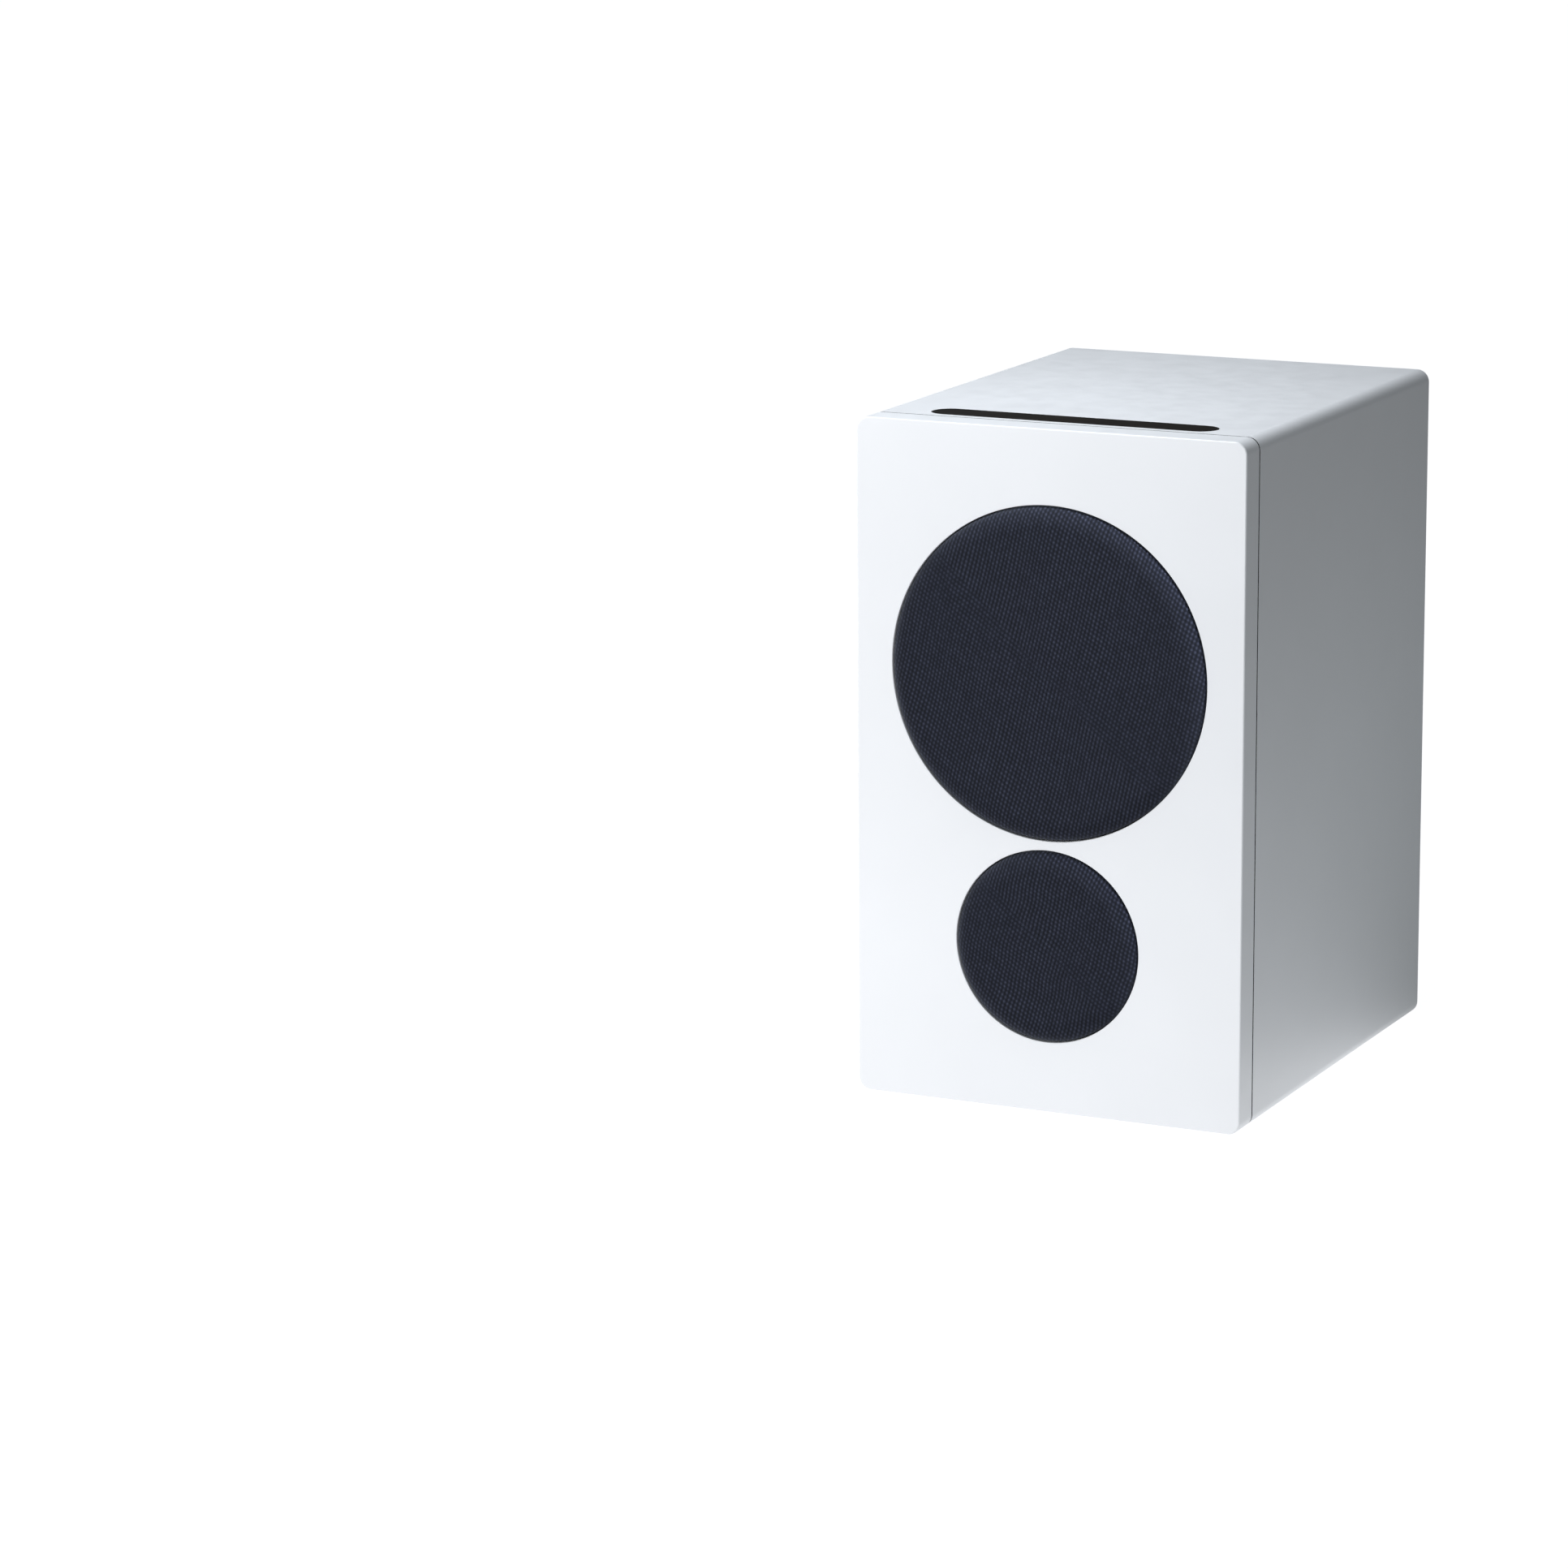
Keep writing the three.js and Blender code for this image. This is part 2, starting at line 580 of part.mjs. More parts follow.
function makePosts() {
  const baseFaceY = jackFaceY + 3.4;
  const washerY = baseFaceY + gap;
  const knobY = washerY + post.washerThickness + gap;
  const tipY = backY + postReach;
  const slabBase = block(42, 22, jackFaceY, baseFaceY, places.posts);
  const bosses = postPlaces().map((place) => rod(4.2, 98, jackFaceY + 0.5, sides.small, place));
  const bores = postPlaces().map((place) => rod(post.stud + gap, 90, baseFaceY + 1, sides.small, place));
  const base = piece('terminal_base', cut(join(slabBase, ...bosses), ...bores), finishes.black());
  const sets = postPlaces().flatMap((place, i) => {
    const side = ['positive', 'negative'][i];
    const stud = turned([
      [0, 90], [post.stud, 90], [post.stud, tipY - 3], [2.05, tipY - 3], [2.05, tipY - 15], [0, tipY - 15],
    ], sides.small).translate(place.x, 0, place.y);
    const clamp = washer(post.stud + gap, post.washer, washerY, washerY + post.washerThickness, sides.small);
    clamp.translate(place.x, 0, place.y);
    const knob = slab(knobOutline(), knobY, tipY, 4).translate(place.x, 0, place.y);
    return [
      piece(`${side}_post_stud`, stud, finishes.gold()),
      piece(`${side}_clamp_washer`, clamp, finishes.gold()),
      piece(`${side}_post_knob`, knob, finishes.gloss()),
    ];
  });
  return [base, ...sets];
}

function makeInputs() {
  const sleeveTip = jackFaceY + 8;
  const body = block(32, 14, 82, plateBackY - gap, places.inputs);
  const rootY = plateBackY - 2;
  const sleeves = jackPlaces().map((place) => rod(jack.sleeve, rootY, sleeveTip, sides.small, place));
  const centres = jackPlaces().map((place) => rod(1.6, sleeveTip - 9, sleeveTip + 1, sides.screw, place));
  return piece('rca_block', cut(join(body, ...sleeves), ...centres), finishes.black());
}

function makeOptical() {
  const faceY = jackFaceY + optical.proud;
  const body = block(optical.side, optical.side, faceY - optical.depth, faceY);
  const mouth = block(optical.mouth, optical.mouth, faceY - 12, faceY + 1);
  const socket = cut(body, mouth).translate(places.optical.x, 0, places.optical.y);
  const flap = block(8, 7.6, faceY - 1.6, faceY - 0.7, places.optical);
  return [piece('optical_jack', socket, finishes.black()), piece('optical_shutter', flap, finishes.gloss())];
}

function makePairingButton() {
  const body = turned([
    [0, 96], [1.5, 96], [1.5, plateBackY - 2.4], [button.flange, plateBackY - 2.4],
    [button.flange, plateBackY - gap], [button.radius, plateBackY - gap],
    [button.radius, plateFaceY + 1], [button.radius - 0.5, plateFaceY + 1.5], [0, plateFaceY + 1.5],
  ], sides.small).translate(places.pairing.x, 0, places.pairing.y);
  return piece('pairing_button', body, finishes.gloss());
}

function makeAmpBoard() {
  const middle = new THREE.Vector2(0, plate.middle);
  const board = block(ampBoard.width, ampBoard.height, ampBoard.y, ampBoard.y + ampBoard.thickness, middle);
  return piece('amp_board', board, finishes.board());
}

function makeHeatsink() {
  const pitch = (heatsink.width - heatsink.finWidth) / (heatsink.fins - 1);
  const tip = -heatsink.base - heatsink.fin;
  const section = new THREE.Shape().moveTo(heatsink.width, 0).lineTo(0, 0);
  for (let i = 0; i < heatsink.fins; i += 1) {
    const left = i * pitch;
    const right = left + heatsink.finWidth;
    if (i > 0) section.lineTo(left, -heatsink.base);
    section.lineTo(left, tip).lineTo(right, tip);
    if (i < heatsink.fins - 1) section.lineTo(right, -heatsink.base);
  }
  const comb = new THREE.ExtrudeGeometry(section, { depth: heatsink.height, bevelEnabled: false });
  comb.translate(heatsink.left, ampBoard.y - gap, heatsink.bottom);
  return piece('heatsink', comb, finishes.aluminium());
}

function makeTransformer() {
  const { inner, outer, height, round } = transformer;
  const profile = [
    ...arc([outer - round, round], round, 270, 360, 2),
    ...arc([outer - round, height - round], round, 0, 90, 2),
    ...arc([inner + round, height - round], round, 90, 180, 2),
    ...arc([inner + round, round], round, 180, 270, 2),
  ];
  const toroid = turned(profile, sides.small).rotateX(Math.PI / 2);
  toroid.translate(transformer.x, transformer.y, bottomZ + cabinet.wall + gap);
  return piece('power_transformer', toroid, finishes.varnish());
}

// ---------------------------------------------------------------- internal leads

function makeLead(name, route, steps) {
  const points = route.map(([x, y, z]) => new THREE.Vector3(x, y, z));
  const curve = new THREE.CatmullRomCurve3(points, false, 'centripetal');
  const section = new THREE.Shape();
  section.absarc(0, 0, lead.radius, 0, Math.PI * 2);
  const tube = new THREE.ExtrudeGeometry(section, {
    steps, bevelEnabled: false, extrudePath: curve, curveSegments: 4,
  });
  return piece(name, tube, finishes.lead());
}

function makeLeads() {
  const boardFront = ampBoard.y - gap;
  const toWoofer = [
    [57, boardFront, 92], [57, 68, 92], [66, 52, 98], [lead.wallX, lead.holeY, 110],
    [lead.wallX, lead.holeY, 118.5], [lead.wallX, lead.holeY, 127], [lead.wallX, 28, 146],
    [lead.wallX, -20, 170], [lead.wallX, -52, 188],
    [66, -70, 196], [56.5, -80, wooferZ], [56.5, -89.5, wooferZ],
  ];
  const toTweeter = [
    [16, boardFront, 50], [16, 68, 50], [20, 40, 62], [26, 0, 72], [27, -40, tweeterZ],
    [25.5, -68, tweeterZ], [25.5, -79.8, tweeterZ],
  ];
  return [makeLead('woofer_lead', toWoofer, 26), makeLead('tweeter_lead', toTweeter, 14)];
}

// ---------------------------------------------------------------- the whole speaker

const speaker = new THREE.Group();
speaker.add(
  makeWrap(),
  makeFrontBaffle(),
  makeSubBaffle(),
  makeBackPanel(),
  makeShelf(),
  ...makeFeet(),
  makePort(),
  makeWoofer(),
  makeTweeter(),
  makeGrille('woofer', woofer, wooferZ),
  makeGrille('tweeter', tweeter, tweeterZ),
  makeStrip(),
  makeAmpPlate(),
  makeInlet(),
  ...makePowerSwitch(),
  ...makePosts(),
  makeInputs(),
  ...makeOptical(),
  makePairingButton(),
  makeAmpBoard(),
  makeHeatsink(),
  makeTransformer(),
  ...makeLeads(),
);

export default speaker;
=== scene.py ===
"""A bookshelf speaker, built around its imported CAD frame.

Everything is in metres in the row frame: X to the right, Y to the back, Z up.
MM turns millimetres into metres.
"""

import json
import math

import bmesh
import bpy
import numpy as np
from mathutils import Matrix, Vector


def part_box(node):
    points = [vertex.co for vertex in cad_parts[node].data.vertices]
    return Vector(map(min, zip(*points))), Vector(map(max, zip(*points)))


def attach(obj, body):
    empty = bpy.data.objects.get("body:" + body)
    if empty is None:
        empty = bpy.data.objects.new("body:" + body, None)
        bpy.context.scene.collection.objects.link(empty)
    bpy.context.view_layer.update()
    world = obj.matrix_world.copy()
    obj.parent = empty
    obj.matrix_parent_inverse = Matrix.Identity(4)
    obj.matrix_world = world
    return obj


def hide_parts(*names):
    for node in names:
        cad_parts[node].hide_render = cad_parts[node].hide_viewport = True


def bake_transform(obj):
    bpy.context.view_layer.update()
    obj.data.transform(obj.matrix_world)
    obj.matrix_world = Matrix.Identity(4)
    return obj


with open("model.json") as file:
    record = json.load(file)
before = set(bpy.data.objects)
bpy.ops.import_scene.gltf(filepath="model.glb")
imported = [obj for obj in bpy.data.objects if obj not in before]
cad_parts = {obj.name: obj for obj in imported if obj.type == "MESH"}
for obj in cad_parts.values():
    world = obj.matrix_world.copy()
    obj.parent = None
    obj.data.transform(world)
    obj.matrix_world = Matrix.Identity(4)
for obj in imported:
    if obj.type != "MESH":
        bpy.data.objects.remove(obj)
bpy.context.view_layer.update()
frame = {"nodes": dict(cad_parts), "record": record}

SLOTS = {part["node"]: part["material_slot"] for part in frame["record"]["subparts"]}
BODIES = {node: body for body, nodes in frame["record"]["behaviour"]["bodies"].items() for node in nodes}
MM = 0.001
ACROSS_FRONT = "front"  # a flat shape is drawn in X and Z, and its depth runs along Y
ACROSS_TOP = "top"  # a flat shape is drawn in X and Y, and its depth runs along Z


def linked(name, data):
    """A new object in the scene that shows the data."""
    piece = bpy.data.objects.new(name, data)
    bpy.context.scene.collection.objects.link(piece)
    return piece


# ------------ camera


def make_camera(place, azimuth, elevation, roll, lens):
    """A camera at place. Azimuth 0 looks along +Y, elevation is how far it looks down, both in degrees."""
    side, down, lean = (math.radians(a) for a in (azimuth, elevation, roll))
    ahead = Vector((-math.sin(side) * math.cos(down), math.cos(side) * math.cos(down), -math.sin(down)))
    level = Vector((math.cos(side), math.sin(side), 0))
    upright = level.cross(ahead)
    right = level * math.cos(lean) + upright * math.sin(lean)
    up = upright * math.cos(lean) - level * math.sin(lean)
    camera = linked("camera", bpy.data.cameras.new("camera"))
    camera.data.lens = lens
    camera.data.sensor_width = 36
    turn = Matrix((right, up, -ahead)).transposed()
    camera.matrix_world = Matrix.Translation(place) @ turn.to_4x4()
    bpy.context.scene.camera = camera


make_camera(
    place=Vector((0.930, -2.2656, 0.6768)),
    azimuth=26.202,
    elevation=12.723,
    roll=-0.400,
    lens=128.165,
)

# ------------ materials


class Look:
    """A procedural material: a Principled shader, and short ways to vary it. Sizes are in metres."""

    def __init__(self, name, colour, roughness, metallic=0.0, **settings):
        self.name = name
        self.material = bpy.data.materials.new(name + "_look")
        self.material.use_nodes = True
        self.nodes = self.material.node_tree.nodes
        self.links = self.material.node_tree.links
        self.shader = self.nodes["Principled BSDF"]
        self.place = self.nodes.new("ShaderNodeTexCoord").outputs["Object"]
        self.colour = colour
        self.set("Base Color", colour)
        self.set("Roughness", roughness)
        self.set("Metallic", metallic)
        for socket, value in settings.items():
            self.set(socket.replace("_", " ").title().replace("Ior", "IOR"), value)

    def set(self, socket, value):
        """Sets or links one of the shader's sockets."""
        self.feed(self.shader.inputs[socket], value)

    def feed(self, socket, value):
        if isinstance(value, bpy.types.NodeSocket):
            self.links.new(value, socket)
        elif isinstance(value, (tuple, list)) and len(value) == 3 and socket.type == "RGBA":
            socket.default_value = (*value, 1)
        else:
            socket.default_value = value

    def node(self, kind, inputs, **attributes):
        """A new node of that kind. Inputs go by name or number, and are values or other nodes' outputs."""
        node = self.nodes.new("ShaderNode" + kind)
        for name, value in attributes.items():
            setattr(node, name, value)
        for name, value in inputs.items():
            self.feed(node.inputs[name], value)
        return node

    def stretched(self, stretch):
        """The object's coordinates, longer along an axis where stretch is more than 1."""
        if stretch == (1, 1, 1):
            return self.place
        scale = tuple(1 / s for s in stretch)
        return self.node("Mapping", {"Vector": self.place, "Scale": scale}).outputs[0]

    def noise(self, size, detail=3.0, rough=0.5, stretch=(1, 1, 1)):
        """Soft blotches about that size, from 0 to 1."""
        inputs = {"Vector": self.stretched(stretch), "Scale": 1 / size, "Detail": detail, "Roughness": rough}
        return self.node("TexNoise", inputs).outputs[0]

    def cells(self, size, feature="F1", stretch=(1, 1, 1)):
        """Distance to the nearest of many scattered points, in cells of that size."""
        inputs = {"Vector": self.stretched(stretch), "Scale": 1 / size}
        return self.node("TexVoronoi", inputs, feature=feature).outputs["Distance"]

    def attribute(self, name):
        """A number stored on the mesh's points."""
        return self.node("Attribute", {}, attribute_name=name).outputs["Fac"]

    def sum(self, first, second, operation="ADD"):
        return self.node("Math", {0: first, 1: second}, operation=operation).outputs[0]

    def between(self, value, low, high, start=0.0, end=1.0):
        """value, from start to end, mapped to low to high."""
        inputs = {"Value": value, "From Min": start, "From Max": end, "To Min": low, "To Max": high}
        return self.node("MapRange", inputs).outputs[0]

    def ramp(self, value, *stops):
        """A colour for each value. The stops are (place, colour) pairs."""
        node = self.node("ValToRGB", {"Fac": value})
        while len(node.color_ramp.elements) < len(stops):
            node.color_ramp.elements.new(0.5)
        for element, (place, colour) in zip(node.color_ramp.elements, stops):
            element.position = place
            element.color = (*colour, 1)
        return node.outputs[0]

    def shades(self, value, dark, light, start=0.25, end=0.75):
        """The look's own colour, times dark to light as value goes from start to end."""
        low, high = (tuple(c * k for c in self.colour) for k in (dark, light))
        self.set("Base Color", self.ramp(value, (start, low), (end, high)))

    def roughness(self, value, low, high):
        self.set("Roughness", self.between(value, low, high, 0.3, 0.7))

    def bump(self, value, depth, over=None):
        """Raises the surface by value times depth. over is an earlier bump that this one lies on."""
        inputs = {"Height": value, "Distance": depth, "Strength": 1.0}
        if over is not None:
            inputs["Normal"] = over
        bumped = self.node("Bump", inputs).outputs[0]
        self.set("Normal", bumped)
        return bumped


def lacquer():
    """White satin lacquer: a faint orange peel and barely visible clouding."""
    look = Look("white_lacquer", (0.83, 0.842, 0.872), 0.38, specular_ior_level=0.42)
    look.shades(look.noise(60 * MM, 2), 0.985, 1.015)
    look.roughness(look.noise(9 * MM, 4), 0.34, 0.43)
    peel = look.bump(look.noise(2.6 * MM, 2), 0.006 * MM)
    look.bump(look.noise(0.35 * MM, 2), 0.002 * MM, over=peel)
    return look


def grille_cloth():
    """Dark blue-black cloth. The mesh carries the threads' height and each grain's own shade. The colour goes
    near black where the threads lie low: painted shade in the weave's dips, over the cloth's own dark gaps.
    """
    look = Look("grille_cloth", (0.024, 0.026, 0.041), 0.90, specular_ior_level=0.12,
                sheen_weight=0.22, sheen_roughness=0.50, sheen_tint=(0.80, 0.86, 1.0))
    height = look.attribute("weave_height")
    shade = look.attribute("weave_shade")
    both = look.sum(height, look.sum(shade, 0.07, "MULTIPLY"))
    # Low threads turn near black: painted shade in the weave's dips, over the cloth's own dark gaps.
    look.set("Base Color", look.ramp(both, (0.12, (0.0005, 0.0008, 0.0024)), (0.42, (0.0040, 0.0052, 0.0117)),
                                     (0.80, (0.0182, 0.0210, 0.0362)), (1.0, (0.038, 0.043, 0.069))))
    fibres = look.bump(look.noise(0.12 * MM, 3, stretch=(1, 1, 3)), 0.03 * MM)
    look.bump(look.noise(0.5 * MM, 2), 0.04 * MM, over=fibres)
    return look


def dark_acrylic():
    """A dark, almost black touch strip with a high gloss and a few faint rubs."""
    look = Look("dark_acrylic", (0.013, 0.010, 0.008), 0.09, specular_ior_level=0.42, coat_weight=0.15,
                coat_roughness=0.05)
    look.shades(look.noise(25 * MM, 2), 0.8, 1.25)
    look.roughness(look.noise(6 * MM, 5, 0.65), 0.07, 0.15)
    return look


def plastic(name, colour, roughness, grain, depth, specular):
    """Moulded plastic with a spark-eroded grain of that size and depth."""
    look = Look(name, colour, roughness, specular_ior_level=specular)
    look.shades(look.noise(12 * MM, 3), 0.85, 1.2)
    look.roughness(look.noise(3 * MM, 4), roughness * 0.85, roughness * 1.15)
    look.bump(look.noise(grain, 2, 0.6), depth)
    return look


def coated_metal(name, colour, roughness, grain, depth):
    """Metal under a powder or textured coat."""
    look = Look(name, colour, roughness, specular_ior_level=0.45)
    look.shades(look.cells(grain * 1.4), 0.8, 1.3, 0.1, 0.8)
    look.roughness(look.noise(4 * MM, 4), roughness * 0.9, roughness * 1.15)
    look.bump(look.cells(grain, "SMOOTH_F1"), depth)
    return look


def plated_metal(name, colour, roughness, lay=(1, 1, 1)):
    """Bare or plated metal, with fine drawing lines along lay and soft stains."""
    look = Look(name, colour, roughness, metallic=1.0)
    look.shades(look.noise(7 * MM, 4), 0.82, 1.08)
    look.roughness(look.noise(2.5 * MM, 5, 0.6), roughness * 0.75, roughness * 1.3)
    look.bump(look.noise(0.18 * MM, 2, stretch=lay), 0.004 * MM)
    return look


def fibreboard():
    look = Look("bare_fibreboard", (0.44, 0.32, 0.20), 0.88, specular_ior_level=0.2)
    look.shades(look.noise(1.1 * MM, 6, 0.7, stretch=(2.5, 2.5, 1)), 0.72, 1.25)
    look.bump(look.noise(0.4 * MM, 5, 0.7), 0.06 * MM)
    return look


def rubber():
    look = Look("black_rubber", (0.014, 0.014, 0.0145), 0.62, specular_ior_level=0.4)
    look.shades(look.noise(5 * MM, 4), 0.8, 1.35)
    look.roughness(look.noise(1.5 * MM, 4), 0.52, 0.70)
    look.bump(look.noise(0.25 * MM, 3), 0.012 * MM)
    return look


def woven_cone():
    """A coated cone of woven fibre: two crossing sets of flat strands under a thin gloss."""
    look = Look("woven_cone", (0.030, 0.030, 0.033), 0.42, specular_ior_level=0.5, coat_weight=0.25,
                coat_roughness=0.25)
    strands = []
    for turn in (45, -45):
        rotation = (0, math.radians(turn), 0)
        slanted = look.node("Mapping", {"Vector": look.place, "Rotation": rotation}).outputs[0]
        wave = look.node("TexWave", {"Vector": slanted, "Scale": 1 / (7.0 * MM), "Distortion": 0.6},
                         bands_direction="X")
        strands.append(wave.outputs["Fac"])
    crossing = look.sum(strands[0], strands[1], "MULTIPLY")
    look.shades(crossing, 0.55, 1.9, 0.05, 0.8)
    look.bump(crossing, 0.10 * MM)
    return look


def cloth_dome(name, colour, roughness, weave):
    """Fine treated cloth, as on a dome or a spider."""
    look = Look(name, colour, roughness, specular_ior_level=0.4)
    grid = look.node("TexVoronoi", {"Vector": look.place, "Scale": 1 / weave, "Randomness": 0.15})
    look.shades(grid.outputs["Distance"], 1.35, 0.65, 0.1, 0.75)
    look.bump(grid.outputs["Distance"], -0.05 * MM)
    return look


def winding(name, colour, turn):
    """Enamelled wire in close turns, a ridge every turn along Y."""
    look = Look(name, colour, 0.32, metallic=0.85)
    wave = look.node("TexWave", {"Vector": look.place, "Scale": 0.32 / turn, "Distortion": 0.15},
                     bands_direction="Y")
    look.shades(wave.outputs["Fac"], 0.45, 1.15, 0.1, 0.7)
    look.bump(wave.outputs["Fac"], 0.06 * MM)
    return look


def ferrite():
    look = Look("ferrite", (0.050, 0.050, 0.053), 0.55, metallic=0.35)
    look.shades(look.noise(2.2 * MM, 6, 0.7), 0.6, 1.4)
    look.bump(look.noise(0.5 * MM, 5, 0.7), 0.03 * MM)
    return look


def circuit_board():
    """Green solder mask with faint tracks under it."""
    look = Look("circuit_board", (0.010, 0.085, 0.038), 0.32, coat_weight=0.3, coat_roughness=0.2)
    bricks = look.node("TexBrick", {"Vector": look.place, "Scale": 1 / (9 * MM), "Mortar Size": 0.04})
    mask, track = (0.008, 0.070, 0.030), (0.02, 0.15, 0.07)
    look.set("Base Color", look.ramp(bricks.outputs["Fac"], (0.3, mask), (0.7, track)))
    look.bump(bricks.outputs["Fac"], 0.03 * MM)
    return look


LOOKS = {
    look.name: look.material
    for look in (
        lacquer(),
        grille_cloth(),
        dark_acrylic(),
        fibreboard(),
        rubber(),
        woven_cone(),
        ferrite(),
        circuit_board(),
        plastic("black_plastic", (0.0125, 0.0125, 0.0135), 0.52, 0.28 * MM, 0.018 * MM, 0.42),
        plastic("gloss_black_plastic", (0.010, 0.010, 0.011), 0.16, 2.5 * MM, 0.004 * MM, 0.5),
        plastic("lead_insulation", (0.25, 0.015, 0.012), 0.38, 0.8 * MM, 0.006 * MM, 0.45),
        coated_metal("black_steel", (0.016, 0.016, 0.0172), 0.46, 0.45 * MM, 0.020 * MM),
        coated_metal("black_aluminium", (0.0145, 0.0145, 0.0158), 0.50, 0.60 * MM, 0.030 * MM),
        cloth_dome("silk_dome", (0.021, 0.021, 0.023), 0.38, 0.45 * MM),
        cloth_dome("spider_cloth", (0.46, 0.25, 0.07), 0.70, 0.7 * MM),
        winding("copper_wire", (0.55, 0.24, 0.12), 0.22 * MM),
        winding("varnished_winding", (0.50, 0.30, 0.06), 0.8 * MM),
        plated_metal("gold_plate", (0.78, 0.56, 0.24), 0.24),
        plated_metal("zinc_steel", (0.56, 0.57, 0.54), 0.34, lay=(6, 1, 6)),
        plated_metal("bare_aluminium", (0.62, 0.62, 0.63), 0.36, lay=(8, 1, 1)),
        plated_metal("black_screw", (0.045, 0.045, 0.048), 0.36),
    )
}

# ------------ shapes


def box(node):
    """A CAD node's lowest and highest corners."""
    return [Vector(corner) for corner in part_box(node)]


def flat_middle(node, plane=ACROSS_FRONT):
    """Where a node's middle is across that plane, and how wide and high it is there."""
    low, high = box(node)
    middle = (low + high) / 2
    if plane == ACROSS_FRONT:
        return (middle.x, middle.z), high.x - low.x, high.z - low.z
    return (middle.x, middle.y), high.x - low.x, high.y - low.y


def arc_fractions(steps):
    return [i / steps for i in range(steps + 1)]


def rounded_rectangle(middle, width, height, radius, steps=10):
    """An outline function: its points with every side moved in by inset, which may be negative."""

    def outline(inset=0.0):
        points = []
        corner = max(radius - inset, 0.0)
        for quarter, (sx, sy) in enumerate(((1, 1), (-1, 1), (-1, -1), (1, -1))):
            cx = middle[0] + sx * (width / 2 - radius)
            cy = middle[1] + sy * (height / 2 - radius)
            for part in arc_fractions(steps):
                angle = math.pi / 2 * (quarter + part)
                points.append((cx + corner * math.cos(angle), cy + corner * math.sin(angle)))
        return points

    return outline


def circle(middle, radius, steps=128):
    """An outline function for a round hole or disc."""

    def outline(inset=0.0):
        reach = radius - inset
        angles = [2 * math.pi * i / steps for i in range(steps)]
        return [(middle[0] + reach * math.cos(a), middle[1] + reach * math.sin(a)) for a in angles]

    return outline


def node_outline(node, radius, steps, wider=0.0):
    """An outline function for a node's own box from the front, with rounded corners."""
    middle, width, height = flat_middle(node)
    return rounded_rectangle(middle, width + wider, height + wider, radius, steps)


def to_space(plane, point, depth):
    """A flat shape's point at that depth, in space."""
    across, up = point
    return Vector((across, depth, up)) if plane == ACROSS_FRONT else Vector((across, up, depth))


def ring(bm, points):
    """A closed ring of new vertices and edges through the points."""
    verts = [bm.verts.new(p) for p in points]
    for i, vert in enumerate(verts):
        bm.edges.new((verts[i - 1], vert))
    return verts


def skin(bm, first, second):
    """Joins two rings of as many vertices by a band of faces."""
    for i in range(len(first)):
        bm.faces.new((first[i - 1], first[i], second[i], second[i - 1]))


def cover(bm, *rings):
    """Fills the flat area inside the first ring and outside the others."""
    edges = [bm.edges.get((verts[i - 1], verts[i])) for verts in rings for i in range(len(verts))]
    bmesh.ops.triangle_fill(bm, use_beauty=True, use_dissolve=False, edges=edges)


def pierce(bm, face, verts):
    """Opens a flat face to a ring of vertices that lies in it."""
    rim = list(face.verts)
    bmesh.ops.delete(bm, geom=[face], context="FACES_ONLY")
    cover(bm, rim, verts)


def edge_rows(start, end, start_round, end_round, steps=5):
    """(inset, depth) rows from a face at start to a face at end, with a round edge at each."""
    way = 1 if end > start else -1
    angles = [math.pi / 2 * part for part in arc_fractions(steps)]
    rows = [(start_round * (1 - math.sin(a)), start + way * start_round * (1 - math.cos(a))) for a in angles]
    angles.reverse()
    return rows + [(end_round * (1 - math.sin(a)), end - way * end_round * (1 - math.cos(a))) for a in angles]


def wall(bm, outline, rows, side=1, plane=ACROSS_FRONT):
    """The rings and bands of one wall.

    side is -1 for a hole, whose rim opens where an outer edge draws in.
    """
    rings = [
        ring(bm, [to_space(plane, point, depth) for point in outline(side * inset)])
        for inset, depth in rows
    ]
    for first, second in zip(rings, rings[1:]):
        skin(bm, first, second)
    return rings


def slab(bm, outline, start, end, edges, holes=(), hole_edges=(), plane=ACROSS_FRONT):
    """A plate of that outline from start to end, with rounded edges and through holes."""
    outer = wall(bm, outline, edge_rows(start, end, *edges), 1, plane)
    inner = [wall(bm, hole, edge_rows(start, end, *hole_edges), -1, plane) for hole in holes]
    for side in (0, -1):
        cover(bm, outer[side], *[rings[side] for rings in inner])


def filleted(points, radius, steps=4):
    """A closed outline with its corners turned into arcs. A point's third number is its own radius."""
    result = []
    for i, point in enumerate(points):
        corner = Vector(point[:2])
        before = Vector(points[i - 1][:2]) - corner
        after = Vector(points[(i + 1) % len(points)][:2]) - corner
        wanted = point[2] if len(point) > 2 else radius
        opening = before.angle(after)
        if corner.x < 1e-7 or wanted == 0 or opening > math.radians(176):
            result.append(tuple(corner))
            continue
        reach = min(wanted / math.tan(opening / 2), 0.48 * before.length, 0.48 * after.length)
        bend = reach * math.tan(opening / 2)
        inwards = (before.normalized() + after.normalized()).normalized()
        centre = corner + inwards * (bend / math.sin(opening / 2))
        start = corner + before.normalized() * reach - centre
        end = corner + after.normalized() * reach - centre
        turn = start.angle_signed(end)
        for part in arc_fractions(steps):
            swung = Matrix.Rotation(-turn * part, 2) @ start
            result.append(tuple(centre + swung))
    return result


def lathe(bm, profile, middle, segments, plane=ACROSS_FRONT):
    """Turns a closed profile of (radius, depth) points about an axis through middle."""
    rings = []
    for radius, depth in profile:
        points = [middle] if radius < 1e-7 else circle(middle, radius, segments)()
        rings.append([bm.verts.new(to_space(plane, point, depth)) for point in points])
    for first, second in zip(rings, rings[1:] + rings[:1]):
        if len(first) == len(second) == 1:
            continue
        if len(first) == 1 or len(second) == 1:
            pole, rim = (first[0], second) if len(first) == 1 else (second[0], first)
            for i in range(len(rim)):
                bm.faces.new((pole, rim[i - 1], rim[i]))
        else:
            skin(bm, first, second)


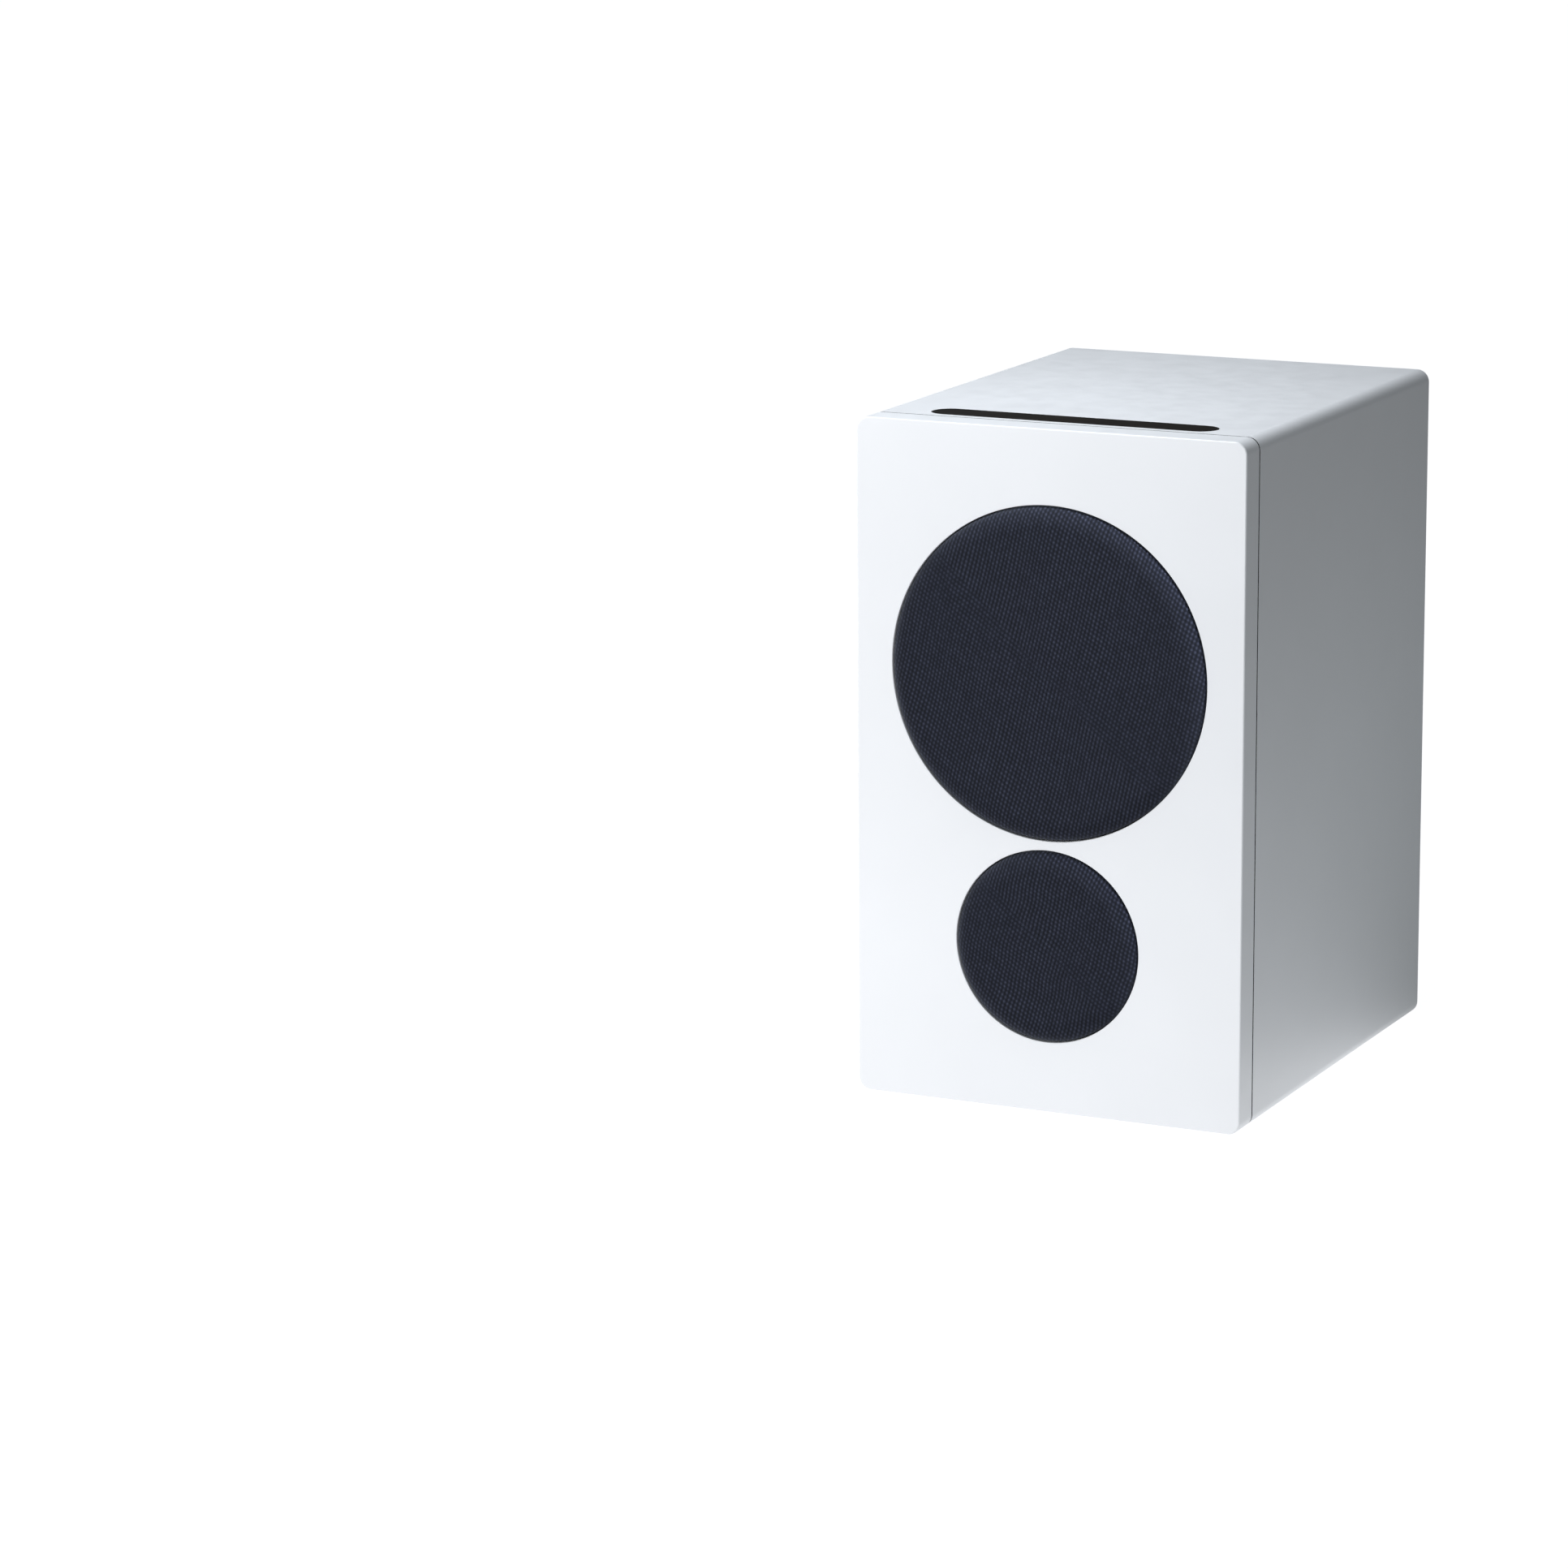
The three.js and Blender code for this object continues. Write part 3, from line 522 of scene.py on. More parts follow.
def smooth(piece, angle=38):
    """Smooth shading that keeps flat faces flat and breaks at edges sharper than the angle."""
    piece.data.shade_smooth()
    piece.data.set_sharp_from_angle(angle=math.radians(angle))
    weighted = piece.modifiers.new("weighted_normals", "WEIGHTED_NORMAL")
    weighted.keep_sharp = True


def finished_mesh(name, bm):
    """The built shape as a mesh, with doubled points joined and every face turned outwards."""
    bmesh.ops.remove_doubles(bm, verts=bm.verts, dist=1e-7)
    bmesh.ops.recalc_face_normals(bm, faces=bm.faces)
    mesh = bpy.data.meshes.new(name)
    bm.to_mesh(mesh)
    bm.free()
    return mesh


def add_mesh(name, mesh, slot, body, replaces):
    """Makes a mesh a piece of the object: its finish, the body it rides on and the nodes it stands for."""
    piece = linked(name, mesh)
    mesh.materials.append(LOOKS[slot])
    smooth(piece)
    if body:
        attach(piece, body)
    if replaces:
        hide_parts(*replaces)
    return piece


def add_piece(name, bm, slot, body="cabinet", replaces=()):
    """The built shape as a piece of the object."""
    return add_mesh(name, finished_mesh(name, bm), slot, body, replaces)


def stand_in(name, bm, node):
    """The built shape as the piece that stands for one CAD node."""
    return add_piece(name, bm, SLOTS[node], BODIES[node], [node])


def turned(name, node, profile, edge=0.3 * MM, segments=96, plane=ACROSS_FRONT):
    """A turned piece for a node, about the middle of the node's box. The profile is in metres."""
    bm = bmesh.new()
    lathe(bm, filleted(profile, edge), flat_middle(node, plane)[0], segments, plane)
    stand_in(name, bm, node)


# ------------ cabinet

CORNER_RADIUS = 5.6 * MM
BOARD = 12 * MM
STRIP_GAP = 0.3 * MM
TOUCH_SLOT = (112 * MM, 11 * MM)  # the opening under the touch strip
GRILLE_GAP = 0.75 * MM  # round each grille's plain CAD solid
SEAM_EDGE = 0.08 * MM
SEAM_OPENING = 0.3 * MM  # how far each side of the seam stands back

front_shape = node_outline("cabinet_wrap", CORNER_RADIUS, 14)


def face_at(bm, height):
    """The largest face that lies flat at that height."""
    flat = [f for f in bm.faces if all(abs(v.co.z - height) < 1e-6 for v in f.verts)]
    return max(flat, key=lambda f: f.calc_area())


def tint_face(piece, depth, slot):
    """Gives the flat face at that depth another finish, such as black inside the seam, which is painted shade
    in the joint.
    """
    piece.data.materials.append(LOOKS[slot])
    for face in piece.data.polygons:
        if abs(face.normal.y) > 0.99 and abs(face.center.y - depth) < 0.01 * MM:
            face.material_index = 1


def strip_outline(gap=0.0):
    """The touch strip's long shape with round ends, with a gap round it."""
    middle, length, width = flat_middle("control_strip", ACROSS_TOP)
    width += 2 * gap
    return rounded_rectangle(middle, length + 2 * gap, width, width / 2 - 0.01 * MM, 24)


def make_cabinet_shell():
    """The four walls in one, with the strip's pocket let into the top and its slot through to the inside."""
    low, high = box("cabinet_wrap")
    seam = low.y + SEAM_OPENING
    inside = node_outline("cabinet_wrap", 0.5 * MM, 2, -2 * BOARD)
    bm = bmesh.new()
    slab(bm, front_shape, seam, high.y, (SEAM_EDGE, 0.8 * MM), [inside], (0.2 * MM, 0.2 * MM))
    slot = rounded_rectangle(flat_middle("touch_board", ACROSS_TOP)[0], *TOUCH_SLOT, 2 * MM, 4)
    top, floor, under = high.z, box("control_strip")[0].z - STRIP_GAP, high.z - BOARD
    pocket_rows = edge_rows(top, floor, 0.15 * MM, 0.0, 3)
    pocket_rings = wall(bm, strip_outline(STRIP_GAP), pocket_rows, -1, ACROSS_TOP)
    slot_rings = wall(bm, slot, [(0, floor), (0, under)], -1, ACROSS_TOP)
    pierce(bm, face_at(bm, top), pocket_rings[0])
    cover(bm, pocket_rings[-1], slot_rings[0])
    pierce(bm, face_at(bm, under), slot_rings[-1])
    # The shell's face inside the seam is black: painted shade in the joint with the baffle.
    tint_face(stand_in("cabinet_shell", bm, "cabinet_wrap"), seam, "black_plastic")


def make_baffle():
    """The front board: crisp outer edges, and an eased edge round each driver's opening."""
    openings = [
        circle(flat_middle(driver)[0], box(cloth)[1].x + GRILLE_GAP, steps)
        for driver, cloth, steps in (
            ("woofer_basket", "woofer_grille_cloth", 192),
            ("tweeter_faceplate", "tweeter_grille_cloth", 160),
        )
    ]
    low, high = box("front_baffle")
    seam = high.y - SEAM_OPENING
    bm = bmesh.new()
    slab(bm, front_shape, low.y, seam, (0.7 * MM, SEAM_EDGE), openings, (0.3 * MM, 0.4 * MM))
    # The baffle's face inside the seam is black: painted shade in the joint with the shell.
    tint_face(stand_in("baffle_board", bm, "front_baffle"), seam, "black_plastic")


def make_strip():
    low, high = box("control_strip")
    bm = bmesh.new()
    slab(bm, strip_outline(), low.z, high.z, (0.2 * MM, 0.35 * MM), plane=ACROSS_TOP)
    stand_in("touch_strip_lens", bm, "control_strip")


def make_feet():
    for node in SLOTS:
        if node.startswith("foot_"):
            low, high = box(node)
            radius = (high.x - low.x) / 2
            rim = (radius - 0.5 * MM, low.z, 0.5 * MM)
            profile = [(0, low.z), rim, (radius, high.z, 0.3 * MM), (0, high.z)]
            turned(node + "_pad", node, profile, segments=48, plane=ACROSS_TOP)


make_cabinet_shell()
make_baffle()
make_strip()
make_feet()

# ------------ grilles

THREAD_A = (-0.571, 0.145)  # threads to the millimetre, across X and Z
THREAD_B = (0.332, 0.457)
THREAD_HEIGHTS = (0.27, 0.21, 0.06)  # of each set of threads, and of their crossings
RELIEF = 0.17 * MM
WANDER = 0.10  # how far the threads run off their lines, in threads
WANDER_LENGTH = 34  # and over how many millimetres
SHOULDER = (9.0 * MM, 3.7 * MM)  # how far in from the rim the cloth turns back, and how deep
CLOTH_BUILD = 0.77 * MM  # how much smaller the ring's shoulder is than the cloth's
PROUD = 2.8 * MM  # how far the cloth's face stands in front of its plain CAD solid
SPREAD = 0.3 * MM  # how much closer it comes to the edge of its opening


def cloth_disc(radius, cells):
    """A square grid of cells laid evenly over a disc of that radius: points and faces."""
    step = np.linspace(-1, 1, cells + 1)
    a, b = (g.ravel() for g in np.meshgrid(step, step))
    wide = np.abs(a) > np.abs(b)
    reach = np.where(wide, a, b)
    other = np.where(wide, b, a)
    ratio = np.divide(other, reach, out=np.zeros_like(reach), where=np.abs(reach) > 1e-12)
    angle = np.where(wide, math.pi / 4 * ratio, math.pi / 2 - math.pi / 4 * ratio)
    points = np.stack([reach * np.cos(angle), reach * np.sin(angle)], axis=1) * radius
    row = cells + 1
    first = (np.arange(cells)[:, None] * row + np.arange(cells)[None]).ravel()
    faces = np.stack([first, first + 1, first + row + 1, first + row], axis=1)
    return points, faces


def weave(points, seed):
    """The threads' height, 0 to 1, and each grain's own shade, -1 to 1, at flat points in metres."""
    rng = np.random.default_rng(seed)
    flat = points / MM
    drift = np.zeros(len(flat))
    for _ in range(6):
        wave = rng.normal(size=2) * 2 * math.pi / WANDER_LENGTH
        drift = drift + rng.normal() * WANDER * np.sin(flat @ wave + rng.uniform(0, 2 * math.pi))
    across = flat @ np.array(THREAD_A) + drift
    along = flat @ np.array(THREAD_B) - drift
    height = 0.5
    for size, threads in zip(THREAD_HEIGHTS, (across, along, across + along)):
        height = height + size * np.cos(2 * math.pi * threads)
    grains = rng.uniform(-1, 1, size=(256, 256))
    cell = np.round(np.stack([across, along])).astype(int) % 256
    return np.clip(height, 0, 1), grains[cell[0], cell[1]]


def cloth_section(radius, front, back):
    """The cloth's section from middle to hem: distance along it, then radius, depth and slope there."""
    across, deep = SHOULDER
    angle = np.linspace(0, math.pi / 2, 40)
    turn_radius = radius - across + across * np.sin(angle)
    turn_depth = front + deep * (1 - np.cos(angle))
    slope = np.arctan2(deep * np.sin(angle), across * np.cos(angle))
    section = np.stack([
        np.concatenate([[0.0], turn_radius, [radius]]),
        np.concatenate([[front], turn_depth, [back]]),
        np.concatenate([[0.0], slope, [math.pi / 2]]),
    ])
    steps = np.hypot(np.diff(section[0]), np.diff(section[1]))
    return np.concatenate([[0.0], np.cumsum(steps)]), section


def make_cloth(name, node, cells, seed):
    """A disc of woven cloth stretched over its ring: flat in front, round at the shoulder, straight behind."""
    low, high = box(node)
    centre = flat_middle(node)[0]
    thread = RELIEF / 2
    length, section = cloth_section((high.x - low.x) / 2 + SPREAD - thread, low.y - PROUD + thread, high.y)
    cut_radius = length[-1]
    points, faces = cloth_disc(cut_radius, cells)
    height, shade = weave(points, seed)
    out = np.hypot(points[:, 0], points[:, 1])
    direction = points / np.maximum(out, 1e-9)[:, None]
    radius, depth, slope = (np.interp(out, length, values) for values in section)
    lift = (height - 0.5) * RELIEF
    radius = radius + lift * np.sin(slope)
    depth = depth - lift * np.cos(slope)
    x = centre[0] + direction[:, 0] * radius
    z = centre[1] + direction[:, 1] * radius
    mesh = bpy.data.meshes.new(name)
    mesh.from_pydata(np.stack([x, depth, z], axis=1).tolist(), [], faces.tolist())
    for attribute, values in (("weave_height", height), ("weave_shade", shade)):
        mesh.attributes.new(attribute, "FLOAT", "POINT").data.foreach_set("value", values.astype(np.float32))
    piece = add_mesh(name, mesh, SLOTS[node], BODIES[node], [node])


def make_frame(name, node, bore):
    """The ring under the cloth. Its front edge follows the cloth's shoulder."""
    low, high = box(node)
    radius = (high.x - low.x) / 2
    across, deep = (size - CLOTH_BUILD for size in SHOULDER)
    angles = [math.pi / 2 * part for part in arc_fractions(16)]
    shoulder = [
        (radius + across * (math.sin(a) - 1), low.y + deep * (1 - math.cos(a)), 0.0) for a in angles
    ]
    profile = [
        (bore, low.y + 0.3 * MM, 0.2 * MM),
        *[point for point in shoulder if point[0] > bore + 0.3 * MM],
        (radius, high.y, 0.5 * MM),
        (bore, high.y, 0.5 * MM),
    ]
    turned(name, node, profile, segments=128)


make_frame("woofer_cloth_ring", "woofer_grille_frame", 64.6 * MM)
make_frame("tweeter_cloth_ring", "tweeter_grille_frame", 34.1 * MM)
make_cloth("woofer_cloth", "woofer_grille_cloth", 308, 4)
make_cloth("tweeter_cloth", "tweeter_grille_cloth", 190, 9)

# ------------ woofer and tweeter


def bow(middle, size, start, end, steps=12):
    """Points of an elliptical arc in a profile, which filleted() leaves alone. Angles are in degrees."""
    angles = [math.radians(start + (end - start) * part) for part in arc_fractions(steps)]
    return [(middle[0] + size[0] * math.cos(a), middle[1] + size[1] * math.sin(a), 0.0) for a in angles]


def curve(formula, start, end, steps=24):
    """Points (radius, formula(radius)) from one radius to another."""
    radii = [start + (end - start) * part for part in arc_fractions(steps)]
    return [(radius, formula(radius), 0.0) for radius in radii]


def cap(rim, height):
    """The depth of a round cap at each radius, from 0 in its middle to height at its rim."""
    bend = (rim**2 + height**2) / (2 * height)
    return lambda radius: bend - math.sqrt(bend**2 - radius**2)


def section(node, rows):
    """A profile in metres from rows in millimetres: radius, and depth from the front of the node."""
    front = box(node)[0].y
    return [(radius * MM, front + depth * MM, *(size * MM for size in rest)) for radius, depth, *rest in rows]


def turned_part(name, node, rows, edge=0.3 * MM, segments=144):
    """A turned piece for a node, from rows in millimetres."""
    turned(name, node, section(node, rows), edge, segments)


def flat_ring(name, node, bore, edge=0.5 * MM, segments=144, plane=ACROSS_FRONT):
    """A turned ring that fills its node's box. The bore's radius is in millimetres."""
    low, high = box(node)
    inner, outer = bore * MM, (high.x - low.x) / 2
    start, end = (low.y, high.y) if plane == ACROSS_FRONT else (low.z, high.z)
    profile = [(inner, start), (outer, start), (outer, end), (inner, end)]
    turned(name, node, profile, edge, segments, plane)


def bellows(name, node, rows, sectors=12, segments=12):
    """A flexible ring between the cabinet and the cone, in sectors.
    """
    middle = flat_middle(node)[0]
    centre = Vector((middle[0], 0, middle[1]))
    profile = filleted(section(node, rows), 0.2 * MM)
    for number in range(sectors):
        bm = bmesh.new()
        rings = []
        for part in arc_fractions(segments):
            angle = 2 * math.pi * (number + part) / sectors
            across, up = math.cos(angle), math.sin(angle)
            places = [(centre.x + r * across, depth, centre.z + r * up) for r, depth in profile]
            rings.append([bm.verts.new(place) for place in places])
        for first, second in zip(rings, rings[1:]):
            skin(bm, first, second)
        for verts in (rings[0], rings[-1]):
            bm.faces.new(verts)
        piece = add_piece(f"{name}_{number + 1}", bm, SLOTS[node], None, [node])
        angle = 2 * math.pi * (number + 0.5) / sectors
        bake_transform(piece)


def spun(outline, angle, middle):
    """The outline turned by an angle in degrees about a middle."""
    turn = Matrix.Rotation(math.radians(angle), 2)
    centre = Vector(middle)
    return lambda inset=0.0: [tuple(centre + turn @ (Vector(p) - centre)) for p in outline(inset)]


def carved(bm, tools):
    """What is left of one built shape once another is cut out of it."""
    shape, cutter = (linked("shape", finished_mesh("shape", built)) for built in (bm, tools))
    cut = shape.modifiers.new("cut", "BOOLEAN")
    cut.object = cutter
    cut.operation = "DIFFERENCE"
    cut.solver = "EXACT"
    bpy.context.view_layer.update()
    mesh = bpy.data.meshes.new_from_object(shape.evaluated_get(bpy.context.evaluated_depsgraph_get()))
    result = bmesh.new()
    result.from_mesh(mesh)
    for temporary in (shape, cutter):
        bpy.data.objects.remove(temporary)
    bpy.data.meshes.remove(mesh)
    return result


def make_screw(name, place, tip, seat, end, head, shank, node=None):
    """A pan-head screw with a hexagon socket. tip is its head's face, seat the underside, end its point."""
    way = 1 if seat > tip else -1
    height = abs(seat - tip)
    profile = [
        (0.0, tip), (0.72 * head, tip, 0.5 * head), (head, tip + way * 0.5 * height, 0.3 * height),
        (head, seat, 0.1 * MM), (shank, seat), (shank, end - way * shank), (0.0, end),
    ]
    bm = bmesh.new()
    lathe(bm, filleted(profile, 0.1 * MM), place, 48)
    socket = bmesh.new()
    slab(socket, circle(place, 0.44 * head, 6), tip - way * height, tip + way * 0.6 * height, (0, 0))
    add_piece(name, carved(bm, socket), "black_screw", replaces=[node] if node else [])


WOOFER_SCREW = (2.0 * MM, 3.3 * MM, 1.8 * MM)  # the head's height and radius, and the shank's radius
TWEETER_SCREW = (1.7 * MM, 2.9 * MM, 1.7 * MM)


def make_driver_screws():
    for node in SLOTS:
        if "_screw_" in node:
            low, high = box(node)
            height, head, shank = WOOFER_SCREW if node.startswith("woofer") else TWEETER_SCREW
            place = flat_middle(node)[0]
            make_screw(node + "_socket", place, low.y, low.y + height, high.y, head, shank, node)


def make_basket():
    """The woofer's frame: a flange, a conical wall with six windows, and a cup for the motor."""
    node = "woofer_basket"
    front = box(node)[0].y
    axis = flat_middle(node)[0]
    rows = [
        (71, 0, 0.6), (71, 3), (61, 3, 0.8), (60.5, 14, 2), (45.5, 28, 2), (39.2, 28, 0.8), (39.2, 41.7, 1.2),
        (20, 41.7), (20, 39.7), (37.2, 39.7, 0.6), (37.2, 26, 1), (43.8, 26, 1.2), (58.6, 13, 1.2), (59.5, 3),
        (59.5, 0, 0.5),
    ]
    bm = bmesh.new()
    lathe(bm, filleted(section(node, rows), 0.3 * MM), axis, 144)
    windows = bmesh.new()
    for number in range(6):
        window = rounded_rectangle((axis[0] + 52 * MM, axis[1]), 32 * MM, 28 * MM, 4 * MM, 6)
        slab(windows, spun(window, 30 + 60 * number, axis), front + 15.2 * MM, front + 24.8 * MM, (0, 0))
    stand_in("woofer_chassis", carved(bm, windows), node)


def make_woofer():
    make_basket()
    flat_ring("woofer_gasket_ring", "woofer_gasket", 62, 0.2 * MM)
    roll = (54.7, 4.6)
    bellows("woofer_roll", "woofer_surround", [
        (47.6, 4.6), (50.1, 4.6, 0.8), *bow(roll, (4.6, 4.6), 180, 360, 28)[1:-1], (59.3, 4.6, 0.8),
        (63.4, 4.6), (63.4, 5.4), (58.5, 5.4, 0.5), *bow(roll, (3.8, 3.8), 0, -180, 28), (50.9, 5.4, 0.5),
        (47.6, 5.4),
    ])

    def cone(radius):
        return 0.4092 * (47.5 - radius) + 0.0044 * (47.5 - radius) ** 2

    turned_part("woofer_cone_shell", "woofer_cone", [
        (50, 0), (47.5, 0, 0.6), *curve(cone, 46.5, 13.5), (13.5, 20.3),
        *curve(lambda radius: cone(radius) + 1.1, 14.2, 46.0), (47, 1.1, 0.3), (50, 0.9),
    ], 0.2 * MM, 180)
    dome = cap(15.5, 5)
    turned_part("woofer_centre_cap", "woofer_dust_cap", [
        *curve(dome, 0, 15.4), (15.5, 5), (15.5, 5.7), *curve(lambda radius: dome(radius) + 0.7, 15.2, 0),
    ], 0.15 * MM, 96)
    turned_part("woofer_coil_former", "woofer_voice_coil", [
        (12.4, 0), (13, 0), (13, 23.4), (13.3, 23.8), (13.3, 33.4), (12.4, 33.4),
    ], 0.08 * MM, 96)

    def wave(radius):
        return 0.7 - 0.7 * math.cos(math.pi * (radius - 17) / 4.5)

    front = [(13.4, 0.3, 0.0), *curve(wave, 15.62, 36.38, 72), (43.3, 0.3, 0.0)]
    back = [(row[0], row[1] + 0.8, 0.0) for row in reversed(front)]
    bellows("woofer_spider_sector", "woofer_spider", front + back, segments=8)
    flat_ring("woofer_front_plate", "woofer_top_plate", 13.9)
    flat_ring("woofer_magnet_ring", "woofer_magnet", 17, 1.2 * MM)
    turned_part("woofer_yoke_plate", "woofer_yoke", [
        (4, 0, 0.6), (11.8, 0), (11.8, 20.6, 0.8), (40, 20.6, 0.6), (40, 25.6, 1.2), (4, 25.6, 0.8),
    ])


def make_tweeter():
    turned_part("tweeter_horn_plate", "tweeter_faceplate", [
        (41, 0, 0.7), (41, 3, 0.2), (31, 3), (31, 10.3), (18, 10.3), *bow((27, 3.1), (9, 3.1), 180, 270, 20),
    ])
    dome, roll = cap(13.3, 5.2), (14.8, 5.2)
    turned_part("tweeter_silk_dome", "tweeter_dome", [
        *curve(dome, 0, 13.0), *bow(roll, (1.5, 1.5), 180, 360, 16), (17.5, 5.2), (17.5, 5.7), (15.9, 5.7),
        *bow(roll, (1.1, 1.1), 0, -180, 16), (13.7, 5.7), *curve(lambda radius: dome(radius) + 0.5, 13.0, 0),
    ], 0.1 * MM)
    flat_ring("tweeter_coil_winding", "tweeter_voice_coil", 12.1, 0.08 * MM)
    flat_ring("tweeter_front_plate", "tweeter_top_plate", 13)
    flat_ring("tweeter_magnet_ring", "tweeter_magnet", 16, 1.0 * MM)
    turned_part("tweeter_yoke_plate", "tweeter_yoke", [
        (4, 0, 0.6), (11.7, 0), (11.7, 13.6, 0.8), (30, 13.6), (30, 17.6, 1.0), (4, 17.6, 0.8),
    ])
    turned_part("tweeter_back_chamber", "tweeter_rear_cup", [
        (20, 0, 0.4), (20, 19.8, 2.5), (0, 19.8), (0, 18.2), (18.4, 18.2, 1.5), (18.4, 0, 0.4),
    ])


make_woofer()
make_tweeter()
make_driver_screws()

# ------------ back


CLEARANCE = 0.3 * MM  # between the amplifier's plate and what lies round and under it
POSTS = ("positive", "negative")
POST_BORE = 3.2 * MM
JACKS = (-8 * MM, 8 * MM)  # the two line inputs, across from the middle of their block
FLANGE = 1.6 * MM  # how far a connector's flange stands on the plate


def input_places():
    centre = flat_middle("rca_block")[0]
    return [(centre[0] + across, centre[1]) for across in JACKS]


def make_port():
    turned_part("port_duct", "port_tube", [
        (20, 0, 0.5), (18, 0, 1.0), *bow((22, 96), (4, 4), 180, 90, 16), (27, 100, 1.2), (27, 97.4),
        (20, 97.4),
    ], segments=128)


def make_back_panel():
    """The panel between the walls, with a rebate and window for the amplifier's plate and the port's hole."""
    low, high = box("back_panel")
    ledge = box("amp_plate")[0].y - CLEARANCE
    through = edge_rows(high.y, low.y, 0.3 * MM, 0.3 * MM)
    window = rounded_rectangle(flat_middle("amp_plate")[0], 128 * MM, 76 * MM, 2 * MM, 5)
    bm = bmesh.new()
    outer = wall(bm, node_outline("back_panel", 0.4 * MM, 2), through)
    port = wall(bm, circle(flat_middle("port_tube")[0], 20.3 * MM), through, -1)
    rebate = wall(bm, node_outline("amp_plate", 1 * MM, 5, 2 * CLEARANCE),
                  edge_rows(high.y, ledge, 0.3 * MM, 0.0), -1)
    opening = wall(bm, window, edge_rows(ledge, low.y, 0.3 * MM, 0.3 * MM), -1)
    cover(bm, outer[0], port[0], rebate[0])
    cover(bm, rebate[-1], opening[0])
    cover(bm, outer[-1], port[-1], opening[-1])
    stand_in("rear_panel_board", bm, "back_panel")


def make_amp_plate():
    low, high = box("amp_plate")
    centre, width, height = flat_middle("amp_plate")
    holes = [
        rounded_rectangle(flat_middle(node)[0], across * MM, up * MM, radius * MM, 4)
        for node, across, up, radius in (
            ("mains_inlet", 23, 14.6, 1),
            ("power_switch_frame", 14.8, 20.8, 1),
            ("optical_jack", 13.2, 13.2, 0.8),
        )
    ]
    holes.append(circle(flat_middle("pairing_button")[0], 3.3 * MM, 48))
    holes += [circle(flat_middle(side + "_post_stud")[0], 4.6 * MM, 48) for side in POSTS]
    holes += [circle(place, 4.45 * MM, 48) for place in input_places()]
    bm = bmesh.new()
    outline = node_outline("amp_plate", 0.9 * MM, 5)
    slab(bm, outline, high.y, low.y, (0.4 * MM, 0.2 * MM), holes, (0.25 * MM, 0.1 * MM))
    stand_in("connector_plate", bm, "amp_plate")
    number = 0
    for across in (-1, 0, 1):
        for up in (-1, 1):
            number += 1
            place = (centre[0] + across * (width / 2 - 4 * MM), centre[1] + up * (height / 2 - 4 * MM))
            depths = (high.y + 1.4 * MM, high.y, high.y - 9 * MM)
            make_screw(f"plate_screw_{number}", place, *depths, 2.6 * MM, 1.5 * MM)


def housing(name, node, flange, body, mouth, mouth_depth, edge=0.5 * MM):
    """A socket let through the plate: a flange on its face, a body behind it, and a blind mouth.

    flange is its corner radius and steps. body and mouth are width, height, corner radius and steps.
    """
    low, high = box(node)
    seat = box("mains_inlet")[1].y - FLANGE
    centre = flat_middle(node)[0]
    bm = bmesh.new()
    rim = wall(bm, node_outline(node, *flange), edge_rows(high.y, seat, edge, 0.1 * MM))
    block = wall(bm, rounded_rectangle(centre, *body), edge_rows(seat, low.y, 0.0, 0.4 * MM))
    cavity = wall(bm, rounded_rectangle(centre, *mouth),
                  edge_rows(high.y, high.y - mouth_depth, 0.3 * MM, 0.0), -1)
    cover(bm, rim[0], cavity[0])
    cover(bm, rim[-1], block[0])
    cover(bm, block[-1])
    cover(bm, cavity[-1])
    stand_in(name, bm, node)


def make_pin(name, place, root, tip, radius):
    """A round contact pin with a blunt point."""
    way = 1 if tip > root else -1
    profile = [
        (0.0, root), (radius, root), (radius, tip - way * radius, 0.6 * radius), (0.4 * radius, tip),
        (0.0, tip),
    ]
    bm = bmesh.new()
    lathe(bm, filleted(profile, 0.15 * MM), place, 32)
    add_piece(name, bm, "zinc_steel")


def make_sockets():
    """The mains inlet and its pins, the switch's frame, and the optical jack with its flap."""
    housing("inlet_housing", "mains_inlet", (2.5 * MM, 8), (22.4 * MM, 14 * MM, 0.8 * MM, 3),
            (19.4 * MM, 10.8 * MM, 5.39 * MM, 16), 14 * MM)
    centre = flat_middle("mains_inlet")[0]
    face = box("mains_inlet")[1].y
    for number, across in ((1, -4.3 * MM), (2, 4.3 * MM)):
        place = (centre[0] + across, centre[1])
        make_pin(f"inlet_pin_{number}", place, face - 14.5 * MM, face - 3 * MM, 1.2 * MM)
    housing("switch_bezel", "power_switch_frame", (1.5 * MM, 6), (14.2 * MM, 20.2 * MM, 0.8 * MM, 3),
            (12.4 * MM, 18.8 * MM, 0.5 * MM, 3), 14 * MM)
    jack_size = [size - 0.1 * MM for size in flat_middle("optical_jack")[1:]]
    housing("optical_housing", "optical_jack", (0.6 * MM, 4), (*jack_size, 0.6 * MM, 4),
            (8.6 * MM, 8.6 * MM, 0.9 * MM, 4), 12 * MM, 0.3 * MM)
    low, high = box("optical_shutter")
    bm = bmesh.new()
    slab(bm, node_outline("optical_shutter", 0.6 * MM, 4), high.y, low.y, (0.2 * MM, 0.2 * MM))
    stand_in("optical_flap", bm, "optical_shutter")


def fluted(middle, radius, flutes, depth):
    """An outline function for a knob with shallow flutes."""

    def outline(inset=0.0):
        points = []
        steps = 12 * flutes
        for i in range(steps):
            angle = 2 * math.pi * i / steps
            reach = radius - inset - depth * (0.5 - 0.5 * math.cos(flutes * angle)) ** 1.5
            points.append((middle[0] + reach * math.cos(angle), middle[1] + reach * math.sin(angle)))
        return points

    return outline


